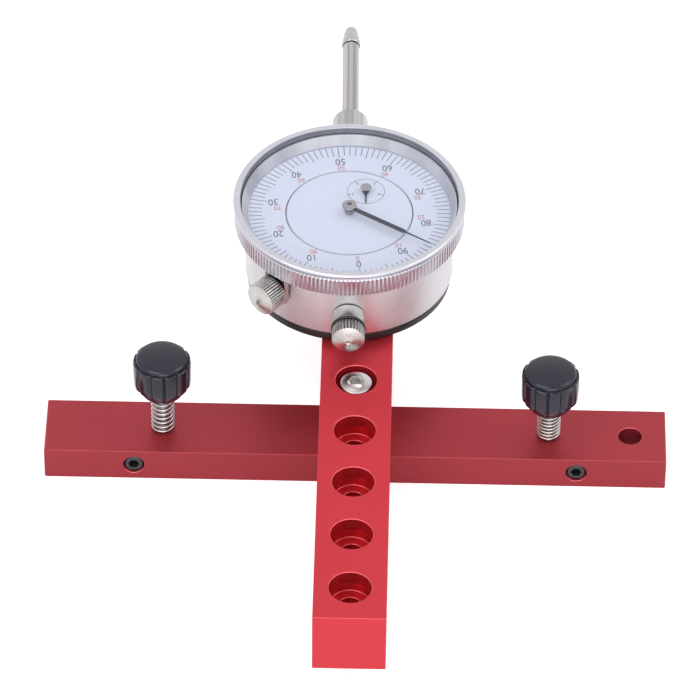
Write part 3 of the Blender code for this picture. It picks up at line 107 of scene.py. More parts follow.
class Shade:
    """A socket of a node tree: sums and products of sockets add the Math nodes for them."""

    def __init__(self, tree, socket=None):
        self.tree = tree
        self.socket = socket

    def node(self, kind, inputs=None, output=0, stops=None, **settings):
        made = self.tree.nodes.new("ShaderNode" + kind)
        for name, value in settings.items():
            setattr(made, name, value)
        if stops:
            ramp = made.color_ramp.elements
            while len(ramp) < len(stops):
                ramp.new(1.0)
            for element, (place, colour) in zip(ramp, stops):
                element.position = place
                element.color = colour
        for key, value in (inputs or {}).items():
            if isinstance(value, Shade):
                self.tree.links.new(value.socket, made.inputs[key])
            else:
                made.inputs[key].default_value = value
        return Shade(self.tree, made.outputs[output])

    def math(self, operation, first, second=0.0):
        return self.node("Math", {0: first, 1: second}, operation=operation)

    def __add__(self, other):
        return self.math("ADD", self, other)

    def __sub__(self, other):
        return self.math("SUBTRACT", self, other)

    def __rsub__(self, other):
        return self.math("SUBTRACT", other, self)

    def __mul__(self, other):
        return self.math("MULTIPLY", self, other)

    def __pow__(self, other):
        return self.math("POWER", self, other)

    __radd__ = __add__
    __rmul__ = __mul__

    def into(self, name):
        """Feed the named socket of the material's own shader."""
        self.tree.links.new(self.socket, self.tree.nodes["Principled BSDF"].inputs[name])


def new_finish(name, colour, metallic, roughness):
    """A material with its shader's plain values set, and a Shade to build the rest from."""
    made = bpy.data.materials.new(name)
    made.use_nodes = True
    shader = made.node_tree.nodes["Principled BSDF"]
    shader.inputs["Base Color"].default_value = (*colour, 1)
    shader.inputs["Metallic"].default_value = metallic
    shader.inputs["Roughness"].default_value = roughness
    return made, Shade(made.node_tree)


def surround():
    """White to the camera, to metal and to glass; a little less than white as a source of light."""
    world = bpy.data.worlds.new("surround")
    bpy.context.scene.world = world
    world.use_nodes = True
    light = Shade(world.node_tree)
    camera_ray = light.node("LightPath")
    glossy_ray = light.node("LightPath", output="Is Glossy Ray")
    through_ray = light.node("LightPath", output="Is Transmission Ray")
    shown = light.math("MAXIMUM", light.math("MAXIMUM", camera_ray, glossy_ray), through_ray)
    strength = shown * 0.35 + 0.65
    background = world.node_tree.nodes["Background"]
    background.inputs["Color"].default_value = (1.0, 1.0, 1.0, 1)
    world.node_tree.links.new(strength.socket, background.inputs["Strength"])


def floor_finish():
    """Pale matt board that shows white to the camera and keeps the gauge's shadow."""
    made, shade = new_finish("floor_board", (0.93, 0.93, 0.94), 0.0, 0.7)
    grain = shade.node("TexNoise", {"Scale": 900.0, "Detail": 2.0})
    (grain * 0.1 + 0.62).into("Roughness")
    tree = made.node_tree
    tree.nodes["Principled BSDF"].inputs["Emission Strength"].default_value = 1.0
    camera_ray = shade.node("LightPath")
    glossy_ray = shade.node("LightPath", output="Is Glossy Ray")
    (camera_ray * 0.60 + glossy_ray * 0.27).into("Emission Color")
    return made


surround()
floor.data.materials.append(floor_finish())


# Mitre bar: a bar of red anodised aluminium that runs in a saw table's slot. It is milled and drilled for
# the arm bolt, two thumb knobs, two side screws and a hole to hang it by, and its edges are broken.

def own_axes(shade):
    """The piece's own coordinates, whole and as x, y and z."""
    place = shade.node("TexCoord", output="Object")
    return place, *(shade.node("SeparateXYZ", {0: place}, output=axis) for axis in range(3))


def speckle(shade, place, scale, detail):
    return shade.node("TexNoise", {"Vector": place, "Scale": scale, "Detail": detail})


def tool_rings(shade, travel, detail):
    """The marks that a cutter leaves as it travels, the same all round the piece."""
    return shade.node("TexNoise", {"W": travel, "Scale": 1.0, "Detail": detail}, noise_dimensions="1D")


def mixed(shade, share, low, high):
    """From one colour to the other; each is three values or another mix."""
    low, high = (end if isinstance(end, Shade) else (*end, 1) for end in (low, high))
    return shade.node("Mix", {0: share, 6: low, 7: high}, output=2, data_type="RGBA")


def across_axis(shade):
    """One where the surface lies across the piece's Z axis, nothing where it runs along it."""
    facing = shade.node("TexCoord", output="Normal")
    return shade.math("ABSOLUTE", shade.node("SeparateXYZ", {0: facing}, output=2))


def fine_relief(shade, height, strength, distance=0.00003):
    shade.node("Bump", {"Height": height, "Strength": strength, "Distance": distance}).into("Normal")


def anodised(name, colour, edge_highlight, wall_light_gain, bores=None):
    """Dyed anodised aluminium over a fine blasted grain; the broken edges carry a painted highlight.

    The wall gain is painted light: it lights or shades the walls against the tops. bores is the pitch, radius,
    floor and mouth of a row of turned holes, which kept the cutter's rings and a smoother skin, and whose walls
    are painted darker in bands along those rings, as painted shade.
    """
    made, shade = new_finish(name, colour, 0.55, 0.40)
    place, x, y, z = own_axes(shade)
    cloud = speckle(shade, place, 45.0, 3.0)
    grain = speckle(shade, place, 5200.0, 2.0)
    deeper, lighter, wall_light_colour = ([c * gain for c in colour] for gain in (0.88, 1.12, wall_light_gain))
    dye = mixed(shade, cloud * 0.7 + grain * 0.3, deeper, lighter)
    slope = across_axis(shade)
    broken = shade.node("ValToRGB", {0: slope},
                        stops=[(0.0, (0, 0, 0, 1)), (0.3, (0, 0, 0, 1)), (0.5, (1, 1, 1, 1)),
                               (0.88, (1, 1, 1, 1)), (0.97, (0, 0, 0, 1))])
    # Painted light: the walls, faces that run along Z, are lit or shaded against the tops by the wall gain.
    dye = mixed(shade, (1 - slope) ** 2.0, dye, wall_light_colour)
    # Painted highlight: faces that lean between the tops and the walls, the broken edges, take a lighter colour
    # where they would catch the light.
    dye = mixed(shade, broken, dye, edge_highlight)
    skin, height = grain * 0.12 + cloud * 0.08 + 0.32, grain
    if bores:
        pitch, radius, floor_level, mouth = bores
        along = (shade.math("FRACT", y * (1 / pitch) + 0.5) - 0.5) * pitch
        inside = shade.math("LESS_THAN", (x * x + along * along) ** 0.5, radius)
        inside = inside * shade.math("LESS_THAN", z, mouth) * shade.math("GREATER_THAN", z, floor_level)
        inside = inside * shade.math("LESS_THAN", y, pitch / 2)
        ring = tool_rings(shade, z * 1800.0, 2.0)
        # Painted shade in the bores: their walls turn a deeper red, in bands along the cutter's rings.
        dye = mixed(shade, inside * (1.1 - ring * 1.4), dye, (colour[0] * 0.66, 0.010, 0.016))
        skin = skin - inside * 0.20
        height = grain * (1 - inside * 0.8) + inside * ring * 1.5
    dye.into("Base Color")
    skin.into("Roughness")
    fine_relief(shade, height, 0.22)
    return made


def shown_object(name, mesh, body, finish, matrix=None, stands_for=()):
    """Put a finished mesh in the scene, on its body if it rides just one, in place of its plain solids."""
    mesh.materials.clear()
    mesh.materials.append(finish)
    made = put_in_scene(name, mesh)
    if matrix is not None:
        made.matrix_world = matrix
    if body:
        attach(made, body)
    if stands_for:
        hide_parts(*stands_for)
    return made


def smooth_mesh(name, bm, sharp=32.0):
    """A finished mesh, smooth except over edges sharper than the angle in degrees."""
    bmesh.ops.recalc_face_normals(bm, faces=bm.faces)
    mesh = bpy.data.meshes.new(name)
    bm.to_mesh(mesh)
    bm.free()
    mesh.shade_smooth()
    mesh.set_sharp_from_angle(angle=math.radians(sharp))
    return mesh


def box_body(bm, low, high):
    """Add a block between two corners, and give its points."""
    made = bmesh.ops.create_cube(bm, size=1.0)["verts"]
    size = [b - a for a, b in zip(low, high)]
    centre = [(a + b) / 2 for a, b in zip(low, high)]
    bmesh.ops.scale(bm, vec=size, verts=made)
    bmesh.ops.translate(bm, vec=centre, verts=made)
    return made


def lathe(outline, sides=96, loop=False, relief=None, matrix=None):
    """Turn (radius, height[, depth]) points about Z; relief(turn, height) says how much of the depth is cut."""
    bm = bmesh.new()
    rings = []
    for point in outline:
        radius, height = point[0], point[1]
        if radius <= 0:
            rings.append([bm.verts.new((0, 0, height))])
            continue
        ring = []
        for i in range(sides):
            turn = i / sides
            cut = point[2] * relief(turn, height) if relief and len(point) > 2 else 0
            angle = turn * math.tau
            reach = radius - cut
            ring.append(bm.verts.new((reach * math.cos(angle), reach * math.sin(angle), height)))
        rings.append(ring)
    pairs = list(zip(rings, rings[1:]))
    if loop:
        pairs.append((rings[-1], rings[0]))
    for one, other in pairs:
        for i in range(sides):
            j = (i + 1) % sides
            corners = [one[i % len(one)], one[j % len(one)], other[j % len(other)], other[i % len(other)]]
            face = list(dict.fromkeys(corners))
            if len(face) > 2:
                bm.faces.new(face)
    if matrix is not None:
        bm.transform(matrix)
    return bm


def milled(name, bm, cutters, edge, joined=()):
    """Cut a blank with the cutters' bodies, join any others to it, then break its edges."""
    blank = put_in_scene(name + "_blank", smooth_mesh(name + "_blank", bm))
    tools = []
    steps = [("DIFFERENCE", cutter) for cutter in cutters] + [("UNION", other) for other in joined]
    for operation, body in steps:
        tool = put_in_scene(name + "_tool", smooth_mesh(name + "_tool", body))
        tools.append(tool)
        step = blank.modifiers.new("cut", "BOOLEAN")
        step.operation = operation
        step.object = tool
        step.solver = "EXACT"
    if edge:
        step = blank.modifiers.new("edge", "BEVEL")
        step.width = edge
        step.segments = 3
        step.limit_method = "ANGLE"
        step.angle_limit = math.radians(35)
        step.harden_normals = True
        step.use_clamp_overlap = False
    bpy.context.view_layer.update()
    mesh = bpy.data.meshes.new_from_object(blank.evaluated_get(bpy.context.evaluated_depsgraph_get()))
    mesh.name = name
    if not edge:
        mesh.set_sharp_from_angle(angle=math.radians(32))
    for thing in [blank, *tools]:
        bpy.data.objects.remove(thing, do_unlink=True)
    return mesh


def milled_piece(name, bm, cutters, edge, body, finish, matrix=None, stands_for=(), joined=()):
    """A piece cut from its blank, then put in its place."""
    shown_object(name, milled(name, bm, cutters, edge, joined), body, finish, matrix, stands_for)


def sleeve(bore, radius, low, high):
    """The outline of a plain ring, or of a rod where the bore is nothing."""
    return [(bore, low), (radius, low), (radius, high), (bore, high)]


def drill(radius, low, high, x=0.0, y=0.0, sides=64):
    """A plain hole's body along Z."""
    return lathe(sleeve(0, radius, low, high), sides, matrix=Matrix.Translation((x, y, 0)))


def turned_to(place, angle, axis):
    """Turned about an axis of its own, then carried to its place."""
    return Matrix.Translation(place) @ Matrix.Rotation(angle, 4, axis)


bar_length, bar_width, bar_height = 0.1610, 0.01905, 0.0094
bar_edge, past = 0.0003, 0.001
knob_x, side_screw_x, side_hole_radius = 0.0500, 0.0573, 0.0027
knob_hole_radius, end_hole_x, end_hole_radius = 0.0023, 0.0712, 0.00305
bolt_hole_radius, bolt_hole_floor = 0.0028, 0.0017
# The bar's broken edges get a painted highlight of the second colour, and its walls painted shade from a wall gain
# under one.
red_bar = anodised("red_anodised_bar", (0.385, 0.034, 0.048), (0.66, 0.12, 0.14), 0.86)
blank = bmesh.new()
box_body(blank, (-bar_length / 2, -bar_width / 2, 0), (bar_length / 2, bar_width / 2, bar_height))
bar_cutters = [drill(knob_hole_radius, -past, bar_height + past, x) for x in (-knob_x, knob_x)]
bar_cutters.append(drill(end_hole_radius, -past, bar_height + past, end_hole_x))
bar_cutters.append(drill(bolt_hole_radius, bolt_hole_floor, bar_height + past))
for x in (-side_screw_x, side_screw_x):
    cutter = drill(side_hole_radius, -bar_width / 2 - past, bar_width / 2 + past)
    cutter.transform(turned_to((x, 0, bar_height / 2), -math.pi / 2, "X"))
    bar_cutters.append(cutter)
milled_piece("mitre_bar_milled", blank, bar_cutters, bar_edge, "bar", red_bar,
             stands_for=["mitre_bar"])


# Arm: a square red anodised bar with five counterbored holes three quarters of an inch apart.
# Its rear end is slotted for the indicator's lug, and a screw across the slot clamps it.
arm_front, arm_rear, arm_width = 0.0869, 0.0540, 0.0184
arm_base, arm_top, arm_edge = 0.0097, 0.02753, 0.00028
hole_pitch, hole_count = 0.0190, 5
counterbore_radius, counterbore_floor, through_radius = 0.00535, 0.02128, 0.0027
slot_x, slot_half, slot_front, lug_z, lug_y = -0.00275, 0.003575, 0.03045, 0.01953, 0.04095
cross_radius, cross_past_slot = 0.0028, 0.0068
blank = bmesh.new()
box_body(blank, (-arm_width / 2, -arm_front, arm_base), (arm_width / 2, arm_rear, arm_top))
arm_cutters = []
for i in range(hole_count):
    outline = [(0, arm_base - past), (through_radius, arm_base - past), (through_radius, counterbore_floor),
               (counterbore_radius, counterbore_floor), (counterbore_radius, arm_top + past),
               (0, arm_top + past)]
    arm_cutters.append(lathe(outline, 96, matrix=Matrix.Translation((0, -i * hole_pitch, 0))))
slot = bmesh.new()
box_body(slot, (slot_x - slot_half, slot_front, arm_base - past),
         (slot_x + slot_half, arm_rear + past, arm_top + past))
arm_cutters.append(slot)
cross = drill(cross_radius, -arm_width / 2 - past, slot_x + slot_half + cross_past_slot)
cross.transform(turned_to((0, lug_y, lug_z), math.pi / 2, "Y"))
arm_cutters.append(cross)
# The arm's broken edges get a painted highlight of the second colour, and its counterbores painted shade in their
# walls.
arm_finish = anodised("red_anodised_arm", (0.62, 0.034, 0.05), (0.86, 0.15, 0.18), 1.0,
                      (hole_pitch, counterbore_radius + 0.0002, arm_base + 0.0006, arm_top - 0.0003))
milled_piece("arm_milled", blank, arm_cutters, arm_edge, "arm", arm_finish, stands_for=["arm"])


# Arm bolt: an M5 socket head cap screw, nickel plated, sunk in the arm's counterbore.
# Its head is turned with a broken edge, and the hexagon socket ends in a drill's cone.

def turned_steel(name, colour, roughness, dark=0.82, bumps=0.35, lines=9000.0, groove_shade=None, reflection_sweep=0.0, end_face_shade=0.0,
                 slice_level=0.0):
    """Bright metal as the lathe leaves it: fine rings round the piece's own Z axis.

    The groove-shade pair is the radius and depth of knurling or grooves that are painted darker towards their
    bottoms, as painted shade; the sweep share lays painted reflection streaks that fan out from the axis, and
    slice_level picks their pattern; the end-face share paints the faces across the axis darker, as painted shade.
    """
    made, shade = new_finish(name, colour, 1.0, roughness)
    made.node_tree.nodes["Principled BSDF"].inputs["Anisotropic"].default_value = 0.5
    place, x, y, z = own_axes(shade)
    reach = (x * x + y * y) ** 0.5
    ring = tool_rings(shade, (reach + z) * lines, 3.0)
    cloud = speckle(shade, place, 160.0, 3.0)
    tone = ring * 0.65 + cloud * 0.35
    # Painted reflections: light and dark streaks that fan out from the axis stand in for reflected lamps and
    # surroundings.
    if reflection_sweep:
        around = shade.node("VectorMath", {0: place, 1: (1.0, 1.0, 0.0)}, operation="MULTIPLY")
        around = shade.node("VectorMath", {0: around}, operation="NORMALIZE")
        around = shade.node("VectorMath", {0: around, 1: (0.0, 0.0, slice_level)}, operation="ADD")
        reflection_streak = speckle(shade, around, 2.6, 4.0)
        tone = tone * (1 - reflection_sweep) + (reflection_streak * 2.6 - 0.8) * reflection_sweep
    shine = tone * (1 - dark) * 1.6 + (dark - 0.1)
    slope = across_axis(shade)
    # Painted shade: darker towards the bottoms of grooves and knurling, on the faces that run along the axis.
    if groove_shade:
        radius, depth = groove_shade
        cut = shade.node("Math", {0: (radius - reach), 1: 1 / depth}, operation="MULTIPLY", use_clamp=True)
        shine = shine * (1 - cut * (1 - slope) * 0.75)
    # Painted shade: the faces across the axis are darker.
    if end_face_shade:
        shine = shine * (1 - slope ** 6.0 * end_face_shade)
    shine = shade.node("Math", {0: shine, 1: 0.0}, operation="ADD", use_clamp=True)
    mixed(shade, shine, (0.0, 0.0, 0.0), colour).into("Base Color")
    (ring * 0.16 + cloud * 0.1 + (roughness - 0.12)).into("Roughness")
    fine_relief(shade, ring, bumps, 0.00002)
    return made


def eased(outline, radius, steps=3, loop=False):
    """Round the corners of an outline of (radius, height) points, as a tool or a tumbler leaves them."""
    count = len(outline)
    result = []
    for i, corner in enumerate(outline):
        if not loop and i in (0, count - 1):
            result.append(corner)
            continue
        here = Vector(corner[:2])
        before = Vector(outline[i - 1][:2]) - here
        after = Vector(outline[(i + 1) % count][:2]) - here
        reach = min(radius, before.length * 0.45, after.length * 0.45)
        start = here + before.normalized() * reach
        end = here + after.normalized() * reach
        for k in range(steps + 1):
            t = k / steps
            point = start * (1 - t) ** 2 + here * 2 * t * (1 - t) + end * t * t
            result.append((point.x, point.y, *corner[2:]))
    return result


bolt_top, bolt_radius, bolt_head, bolt_shank, bolt_end = 0.02658, 0.0042, 0.0050, 0.0025, 0.0020
socket_flat, socket_depth, socket_cone, bolt_edge = 0.0040, 0.0026, 0.0007, 0.00008


def hex_cutter(across, top, depth, cone):
    """A hexagon socket's body with the drill's cone under it."""
    corner = across / math.sqrt(3)
    bm = bmesh.new()
    angles = [k * math.tau / 6 for k in range(6)]
    rings = [[bm.verts.new((corner * math.cos(a), corner * math.sin(a), height)) for a in angles]
             for height in (top + past, top - depth)]
    tip = bm.verts.new((0, 0, top - depth - cone))
    bm.faces.new(rings[0])
    for k in range(6):
        n = (k + 1) % 6
        bm.faces.new((rings[0][k], rings[0][n], rings[1][n], rings[1][k]))
        bm.faces.new((rings[1][k], rings[1][n], tip))
    return bm


bolt_outline = eased([(0, bolt_end), (bolt_shank, bolt_end), (bolt_shank, bolt_top - bolt_head),
                      (bolt_radius, bolt_top - bolt_head), (bolt_radius, bolt_top), (0, bolt_top)], 0.00045)
bolt_socket = hex_cutter(socket_flat, bolt_top, socket_depth, socket_cone)
bolt_nickel = turned_steel("bolt_nickel", (0.84, 0.82, 0.81), 0.20, 0.8)
milled_piece("arm_bolt_turned", lathe(bolt_outline, 72), [bolt_socket], bolt_edge, "bar", bolt_nickel,
             stands_for=["arm_bolt"])


# Side screws: black oxide set screws with a hexagon socket, in the bar's front face. Each one pushes
# a plug of white nylon out of the rear face to take up the bar's play in its slot.
side_screw_radius, side_screw_start, side_screw_end = 0.0025, 0.001125, 0.009125
side_socket_flat, side_socket_depth, side_socket_cone = 0.0025, 0.0025, 0.0004
plug_inner, plug_outer = -0.000825, 0.009425


def clouded(name, dark, pale, scale, detail, roughness, spread, metallic=0.0, specular=None):
    """A plain finish whose tone and gloss drift a little from place to place."""
    made, shade = new_finish(name, dark, metallic, roughness)
    if specular is not None:
        made.node_tree.nodes["Principled BSDF"].inputs["Specular IOR Level"].default_value = specular
    cloud = speckle(shade, shade.node("TexCoord", output="Object"), scale, detail)
    mixed(shade, cloud, dark, pale).into("Base Color")
    (cloud * spread + roughness).into("Roughness")
    return made


def turned_piece(name, outline, sides, body, slot_name, finish, matrix, stands_for=(), sharp=32.0, **shape):
    """A piece that is only turned: its outline run round Z, then put in its place."""
    mesh = smooth_mesh(name, lathe(outline, sides, **shape), sharp)
    shown_object(name, mesh, body, finish, matrix, stands_for)


oxide = clouded("black_oxide_steel", (0.03, 0.03, 0.034), (0.10, 0.10, 0.105), 900.0, 4.0, 0.26, 0.25, 0.7)
white_nylon = clouded("natural_nylon", (0.74, 0.73, 0.66), (0.84, 0.83, 0.78), 600.0, 3.0, 0.4, 0.2)
tip_radius, tip_length = side_screw_radius - 0.0004, 0.0004
screw_outline = eased([(0, side_screw_start), (tip_radius, side_screw_start),
                       (side_screw_radius, side_screw_start + tip_length),
                       (side_screw_radius, side_screw_end - tip_length), (tip_radius, side_screw_end),
                       (0, side_screw_end)], 0.0001)
plug_outline = eased(sleeve(0, side_screw_radius, plug_inner, plug_outer), 0.0004)
for side_name, x in (("left", -side_screw_x), ("right", side_screw_x)):
    socket = hex_cutter(side_socket_flat, side_screw_end, side_socket_depth, side_socket_cone)
    milled_piece(side_name + "_set_screw", lathe(screw_outline, 48), [socket], 0, side_name + "_screw",
                 oxide, turned_to((x, 0, bar_height / 2), math.pi / 2, "X"),
                 [side_name + "_side_screw"])
for side_name, x in (("left", -side_screw_x), ("right", side_screw_x)):
    turned_piece(side_name + "_plug_turned", plug_outline, 48, side_name + "_plug", "nylon", white_nylon,
                 turned_to((x, 0, bar_height / 2), -math.pi / 2, "X"), [side_name + "_plug"])


# Thumb knobs: black moulded plastic on M4 studs that screw down through the bar. Twelve broad lobes
# with narrow grooves run down the side and fade into a round neck; the lid is a low dome.
knob_neck, knob_dome, dome_radius, dome_foot = 0.0037, 0.0007, 0.00580, 0.01281
lobes, groove_depth, bore_radius, bore_end = 12, 0.00055, 0.0023, 0.0063


def moulded(name):
    """Black moulded plastic with a satin skin and a hint of dust in its texture."""
    made, shade = new_finish(name, (0.014, 0.014, 0.026), 0.0, 0.28)
    sockets = made.node_tree.nodes["Principled BSDF"].inputs
    sockets["Specular IOR Level"].default_value = 0.38
    sockets["Coat Weight"].default_value = 0.2
    sockets["Coat Roughness"].default_value = 0.08
    place = shade.node("TexCoord", output="Object")
    grain = speckle(shade, place, 3500.0, 3.0)
    cloud = speckle(shade, place, 220.0, 2.0)
    mixed(shade, cloud, (0.007, 0.007, 0.017), (0.013, 0.014, 0.031)).into("Base Color")
    (grain * 0.06 + cloud * 0.06 + 0.12).into("Roughness")
    fine_relief(shade, grain, 0.08)
    return made


def lobe_groove(turn, height):
    """One at the bottom of a groove, nothing on a lobe's broad crown."""
    across = abs((turn * lobes) % 1.0 - 0.5) * 2
    edge = max(0.0, (across - 0.62) / 0.38)
    return math.sin(min(1.0, edge) * math.pi / 2) ** 2 + 0.10 * across * across


def knob_outline():
    """From the stud's bore, round the neck, up the fluted side, over the shoulder and the domed lid."""
    side = [(0, bore_end, 0), (bore_radius, bore_end, 0), (bore_radius, 0.0, 0)]
    side += [(knob_neck - 0.0003, 0.0, 0), (knob_neck, 0.0002, 0), (0.0048, 0.0006, 0)]
    side += [(0.0055, 0.0013, 0.0), (0.0059, 0.0022, 0.2), (0.0063, 0.0030, 0.5), (0.0069, 0.0035, 0.9)]
    side += [(0.00732, 0.0041, 1.0), (0.00742, 0.0056, 1.0), (0.00745, 0.0080, 1.0), (0.00747, 0.0108, 1.0)]
    side += [(0.00738, 0.0114, 1.0), (0.00715, 0.0116, 0.7), (0.00690, 0.01166, 0.2), (0.00660, 0.01155, 0.0)]
    side += [(0.00655, 0.01165, 0), (0.00667, 0.0118, 0), (0.00668, 0.01198, 0), (0.00660, 0.01222, 0)]
    side += [(0.00642, 0.01246, 0), (0.00615, 0.01266, 0), (dome_radius, dome_foot, 0)]
    for k in range(1, 7):
        share = 1 - k / 6
        side.append((dome_radius * share, dome_foot + knob_dome * (1 - share * share), 0))
    return [(r, z, d * groove_depth) for r, z, d in side]


# Springs and studs: each knob's stud is plain M4 thread, and a compression spring of bright wire
# stands round it between the bar and the knob. The knobs are screwed down by different amounts.
spring_radius, wire_radius, spring_turns, closed_turns, spring_foot = 0.0028, 0.0003, 8.0, 0.75, 0.0097
stud_radius, stud_pitch, thread_depth, stud_below, stud_above = 0.0020, 0.0007, 0.00030, 0.0149, 0.0060
rows_per_pitch, taper_length, taper_depth, spring_gap = 6, 0.0006, 0.0004, 0.0003


def wire_coil(height):
    """A compression spring as one tube; its end turns lie closed, one wire's thickness apart."""
    bm = bmesh.new()
    steps_per_turn, around = 28, 10
    count = int(spring_turns * steps_per_turn)
    low = spring_foot + wire_radius
    high = height - wire_radius
    closed_rise = 2 * wire_radius
    open_turns = spring_turns - 2 * closed_turns
    open_rise = (high - low - 2 * closed_turns * closed_rise) / open_turns
    rings = []
    for i in range(count + 1):
        turn = i / steps_per_turn
        opened = min(max(turn - closed_turns, 0.0), open_turns)
        angle = turn * math.tau + 0.6
        z = low + opened * open_rise + (turn - opened) * closed_rise
        out = Vector((math.cos(angle), math.sin(angle), 0))
        centre = out * spring_radius + Vector((0, 0, z))
        ring = []
        for k in range(around):
            a = k * math.tau / around
            ring.append(bm.verts.new(centre + out * wire_radius * math.cos(a)
                                     + Vector((0, 0, wire_radius * math.sin(a)))))
        rings.append(ring)
    for one, other in zip(rings, rings[1:]):
        for k in range(around):
            n = (k + 1) % around
            bm.faces.new((one[k], one[n], other[n], other[k]))
    bm.faces.new(rings[0])
    bm.faces.new(rings[-1])
    return bm


def thread_relief(turn, height):
    """A V thread's depth at a place round and along the stud."""
    share = (height / stud_pitch - turn) % 1.0
    return 1 - abs(2 * share - 1)


def stud_outline():
    """Rows close enough along the stud to follow its thread."""
    rows = [(0, -stud_below)]
    length = stud_below + stud_above
    count = int(length / stud_pitch * rows_per_pitch)
    for i in range(count + 1):
        z = -stud_below + length * i / count
        taper = min(1.0, (z + stud_below) / taper_length)
        rows.append((stud_radius - taper_depth * (1 - taper), z, thread_depth * taper))
    rows.append((0, stud_above))
    return rows


plastic = moulded("black_moulded_plastic")
bright_wire = turned_steel("bright_wire", (0.64, 0.62, 0.61), 0.20, 0.9, bumps=0.1, lines=3000.0)
# Painted shade in the thread's roots.
stud_steel = turned_steel("stud_steel", (0.46, 0.44, 0.43), 0.28, 0.8, bumps=0.1, lines=3000.0,
                          groove_shade=(stud_radius, thread_depth))
for side_name, x, spring_height, twist in (("left", -knob_x, 0.0120, 0.13), ("right", knob_x, 0.0096, 0.42)):
    foot = bar_height + spring_height
    place = turned_to((x, 0, foot), twist, "Z")
    turned_piece(side_name + "_knob_moulded", knob_outline(), lobes * 20, side_name + "_knob", "black_plastic",
                 plastic, place, [side_name + "_knob"], 40, relief=lobe_groove)
    turned_piece(side_name + "_stud_threaded", stud_outline(), 24, side_name + "_knob", "steel", stud_steel,
                 place, [side_name + "_stud"], 80, relief=thread_relief)
    coil = smooth_mesh(side_name + "_spring_wound", wire_coil(foot - spring_gap), 60)
    coil.transform(Matrix.Translation((x, 0, 0)))
    spring = shown_object(side_name + "_spring_wound", coil, None, bright_wire,
                          stands_for=[side_name + "_knob_spring"])
    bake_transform(spring)


# Back cover: a black enamelled disc with turned rings, screwed to the case. The lug that the arm
# clamps is one piece with it and hangs into the arm's slot.
indicator = turned_to((slot_x, lug_y, 0), math.radians(0.8), "Z")
cover_radius, cover_base, cover_top = 0.02675, 0.02783, 0.03023
lug_half, lug_reach, lug_hole, lug_edge = 0.003175, 0.0080, 0.003175, 0.0003


def enamel(name):
    """Black enamel over turned metal: the rings show through as a fine silky grain."""
    made, shade = new_finish(name, (0.018, 0.018, 0.020), 0.3, 0.35)
    place, x, y, z = own_axes(shade)
    ring = tool_rings(shade, ((x * x + y * y) ** 0.5 + z) * 6000.0, 2.0)
    mixed(shade, ring, (0.012, 0.012, 0.014), (0.035, 0.034, 0.037)).into("Base Color")
    (ring * 0.2 + 0.26).into("Roughness")
    fine_relief(shade, ring, 0.3)
    return made


def prism(ends):
    """A straight-sided body between two like rows of points."""
    bm = bmesh.new()
    near, far = ([bm.verts.new(point) for point in end] for end in ends)
    bm.faces.new(list(reversed(near)))
    bm.faces.new(far)
    for k in range(len(near)):
        n = (k + 1) % len(near)
        bm.faces.new((near[k], near[n], far[n], far[k]))
    return bm


cover_screw_circle, cover_screw_head = 0.0232, 0.0021
cover_bm = lathe(eased(sleeve(0, cover_radius, cover_base, cover_top), 0.0003), 144)
cover_cutters = []
for k in range(4):
    angle = (k + 0.5) * math.tau / 4
    cover_cutters.append(drill(cover_screw_head, cover_base - past, cover_top + past,
                               cover_screw_circle * math.cos(angle), cover_screw_circle * math.sin(angle), 32))
lug_root, lug_steps = cover_base + 0.0005, 24
lug_points = [(lug_reach, lug_root)]
for k in range(lug_steps + 1):
    angle = -k * math.pi / lug_steps
    lug_points.append((lug_reach * math.cos(angle), lug_z + lug_reach * math.sin(angle)))
lug_points.append((-lug_reach, lug_root))
lug_bm = prism([[(x, y, z) for y, z in lug_points] for x in (-lug_half, lug_half)])
lug_cut = drill(lug_hole, -lug_half - past, lug_half + past)
lug_cut.transform(turned_to((0, 0, lug_z), math.pi / 2, "Y"))
lug = bmesh.new()
lug.from_mesh(milled("lug", lug_bm, [lug_cut], lug_edge))
milled_piece("back_cover_turned", cover_bm, cover_cutters, 0, "arm", enamel("black_enamel"),
             indicator, ["back_cover"], [lug])
lug_head, lug_head_height, lug_shank, lug_head_x, lug_screw_length = 0.00475, 0.0028, 0.0025, 0.0095, 0.016825
outline = eased([(0, -lug_screw_length), (lug_shank, -lug_screw_length), (lug_shank, 0), (lug_head, 0),
                 (lug_head, lug_head_height), (0, lug_head_height)], 0.0004)
lug_socket_flat, lug_socket_depth, lug_socket_cone = 0.0030, 0.0016, 0.0004
lug_socket = hex_cutter(lug_socket_flat, lug_head_height, lug_socket_depth, lug_socket_cone)
milled_piece("lug_screw_turned", lathe(outline, 64), [lug_socket], 0, "arm", oxide,
             turned_to((-lug_head_x, lug_y, lug_z), -math.pi / 2, "Y"), ["lug_clamp_screw"])


# Case: a cup turned from bar, with a satin silver skin and fine rings round its side.
# An inner web carries the movement below and the fixed dial above.
case_radius, case_bore, case_base, case_top, web_top, web_base = 0.0272, 0.0250, 0.03053, 0.0480, 0.0464, 0.0448
dial_boss, arbor_hole = 0.0155, 0.0009
groove_low, groove_high, groove_radius, case_chamfer = 0.04665, 0.04775, 0.0268, 0.0003
outline = [(case_bore, case_base), (case_radius - case_chamfer, case_base),
           (case_radius, case_base + case_chamfer), (case_radius, groove_low), (groove_radius, groove_low),
           (groove_radius, groove_high), (case_radius, groove_high),
           (case_radius, case_top), (case_bore, case_top), (case_bore, web_top), (dial_boss, web_top),
           (dial_boss, case_top), (arbor_hole, case_top), (arbor_hole, web_base), (case_bore, web_base)]
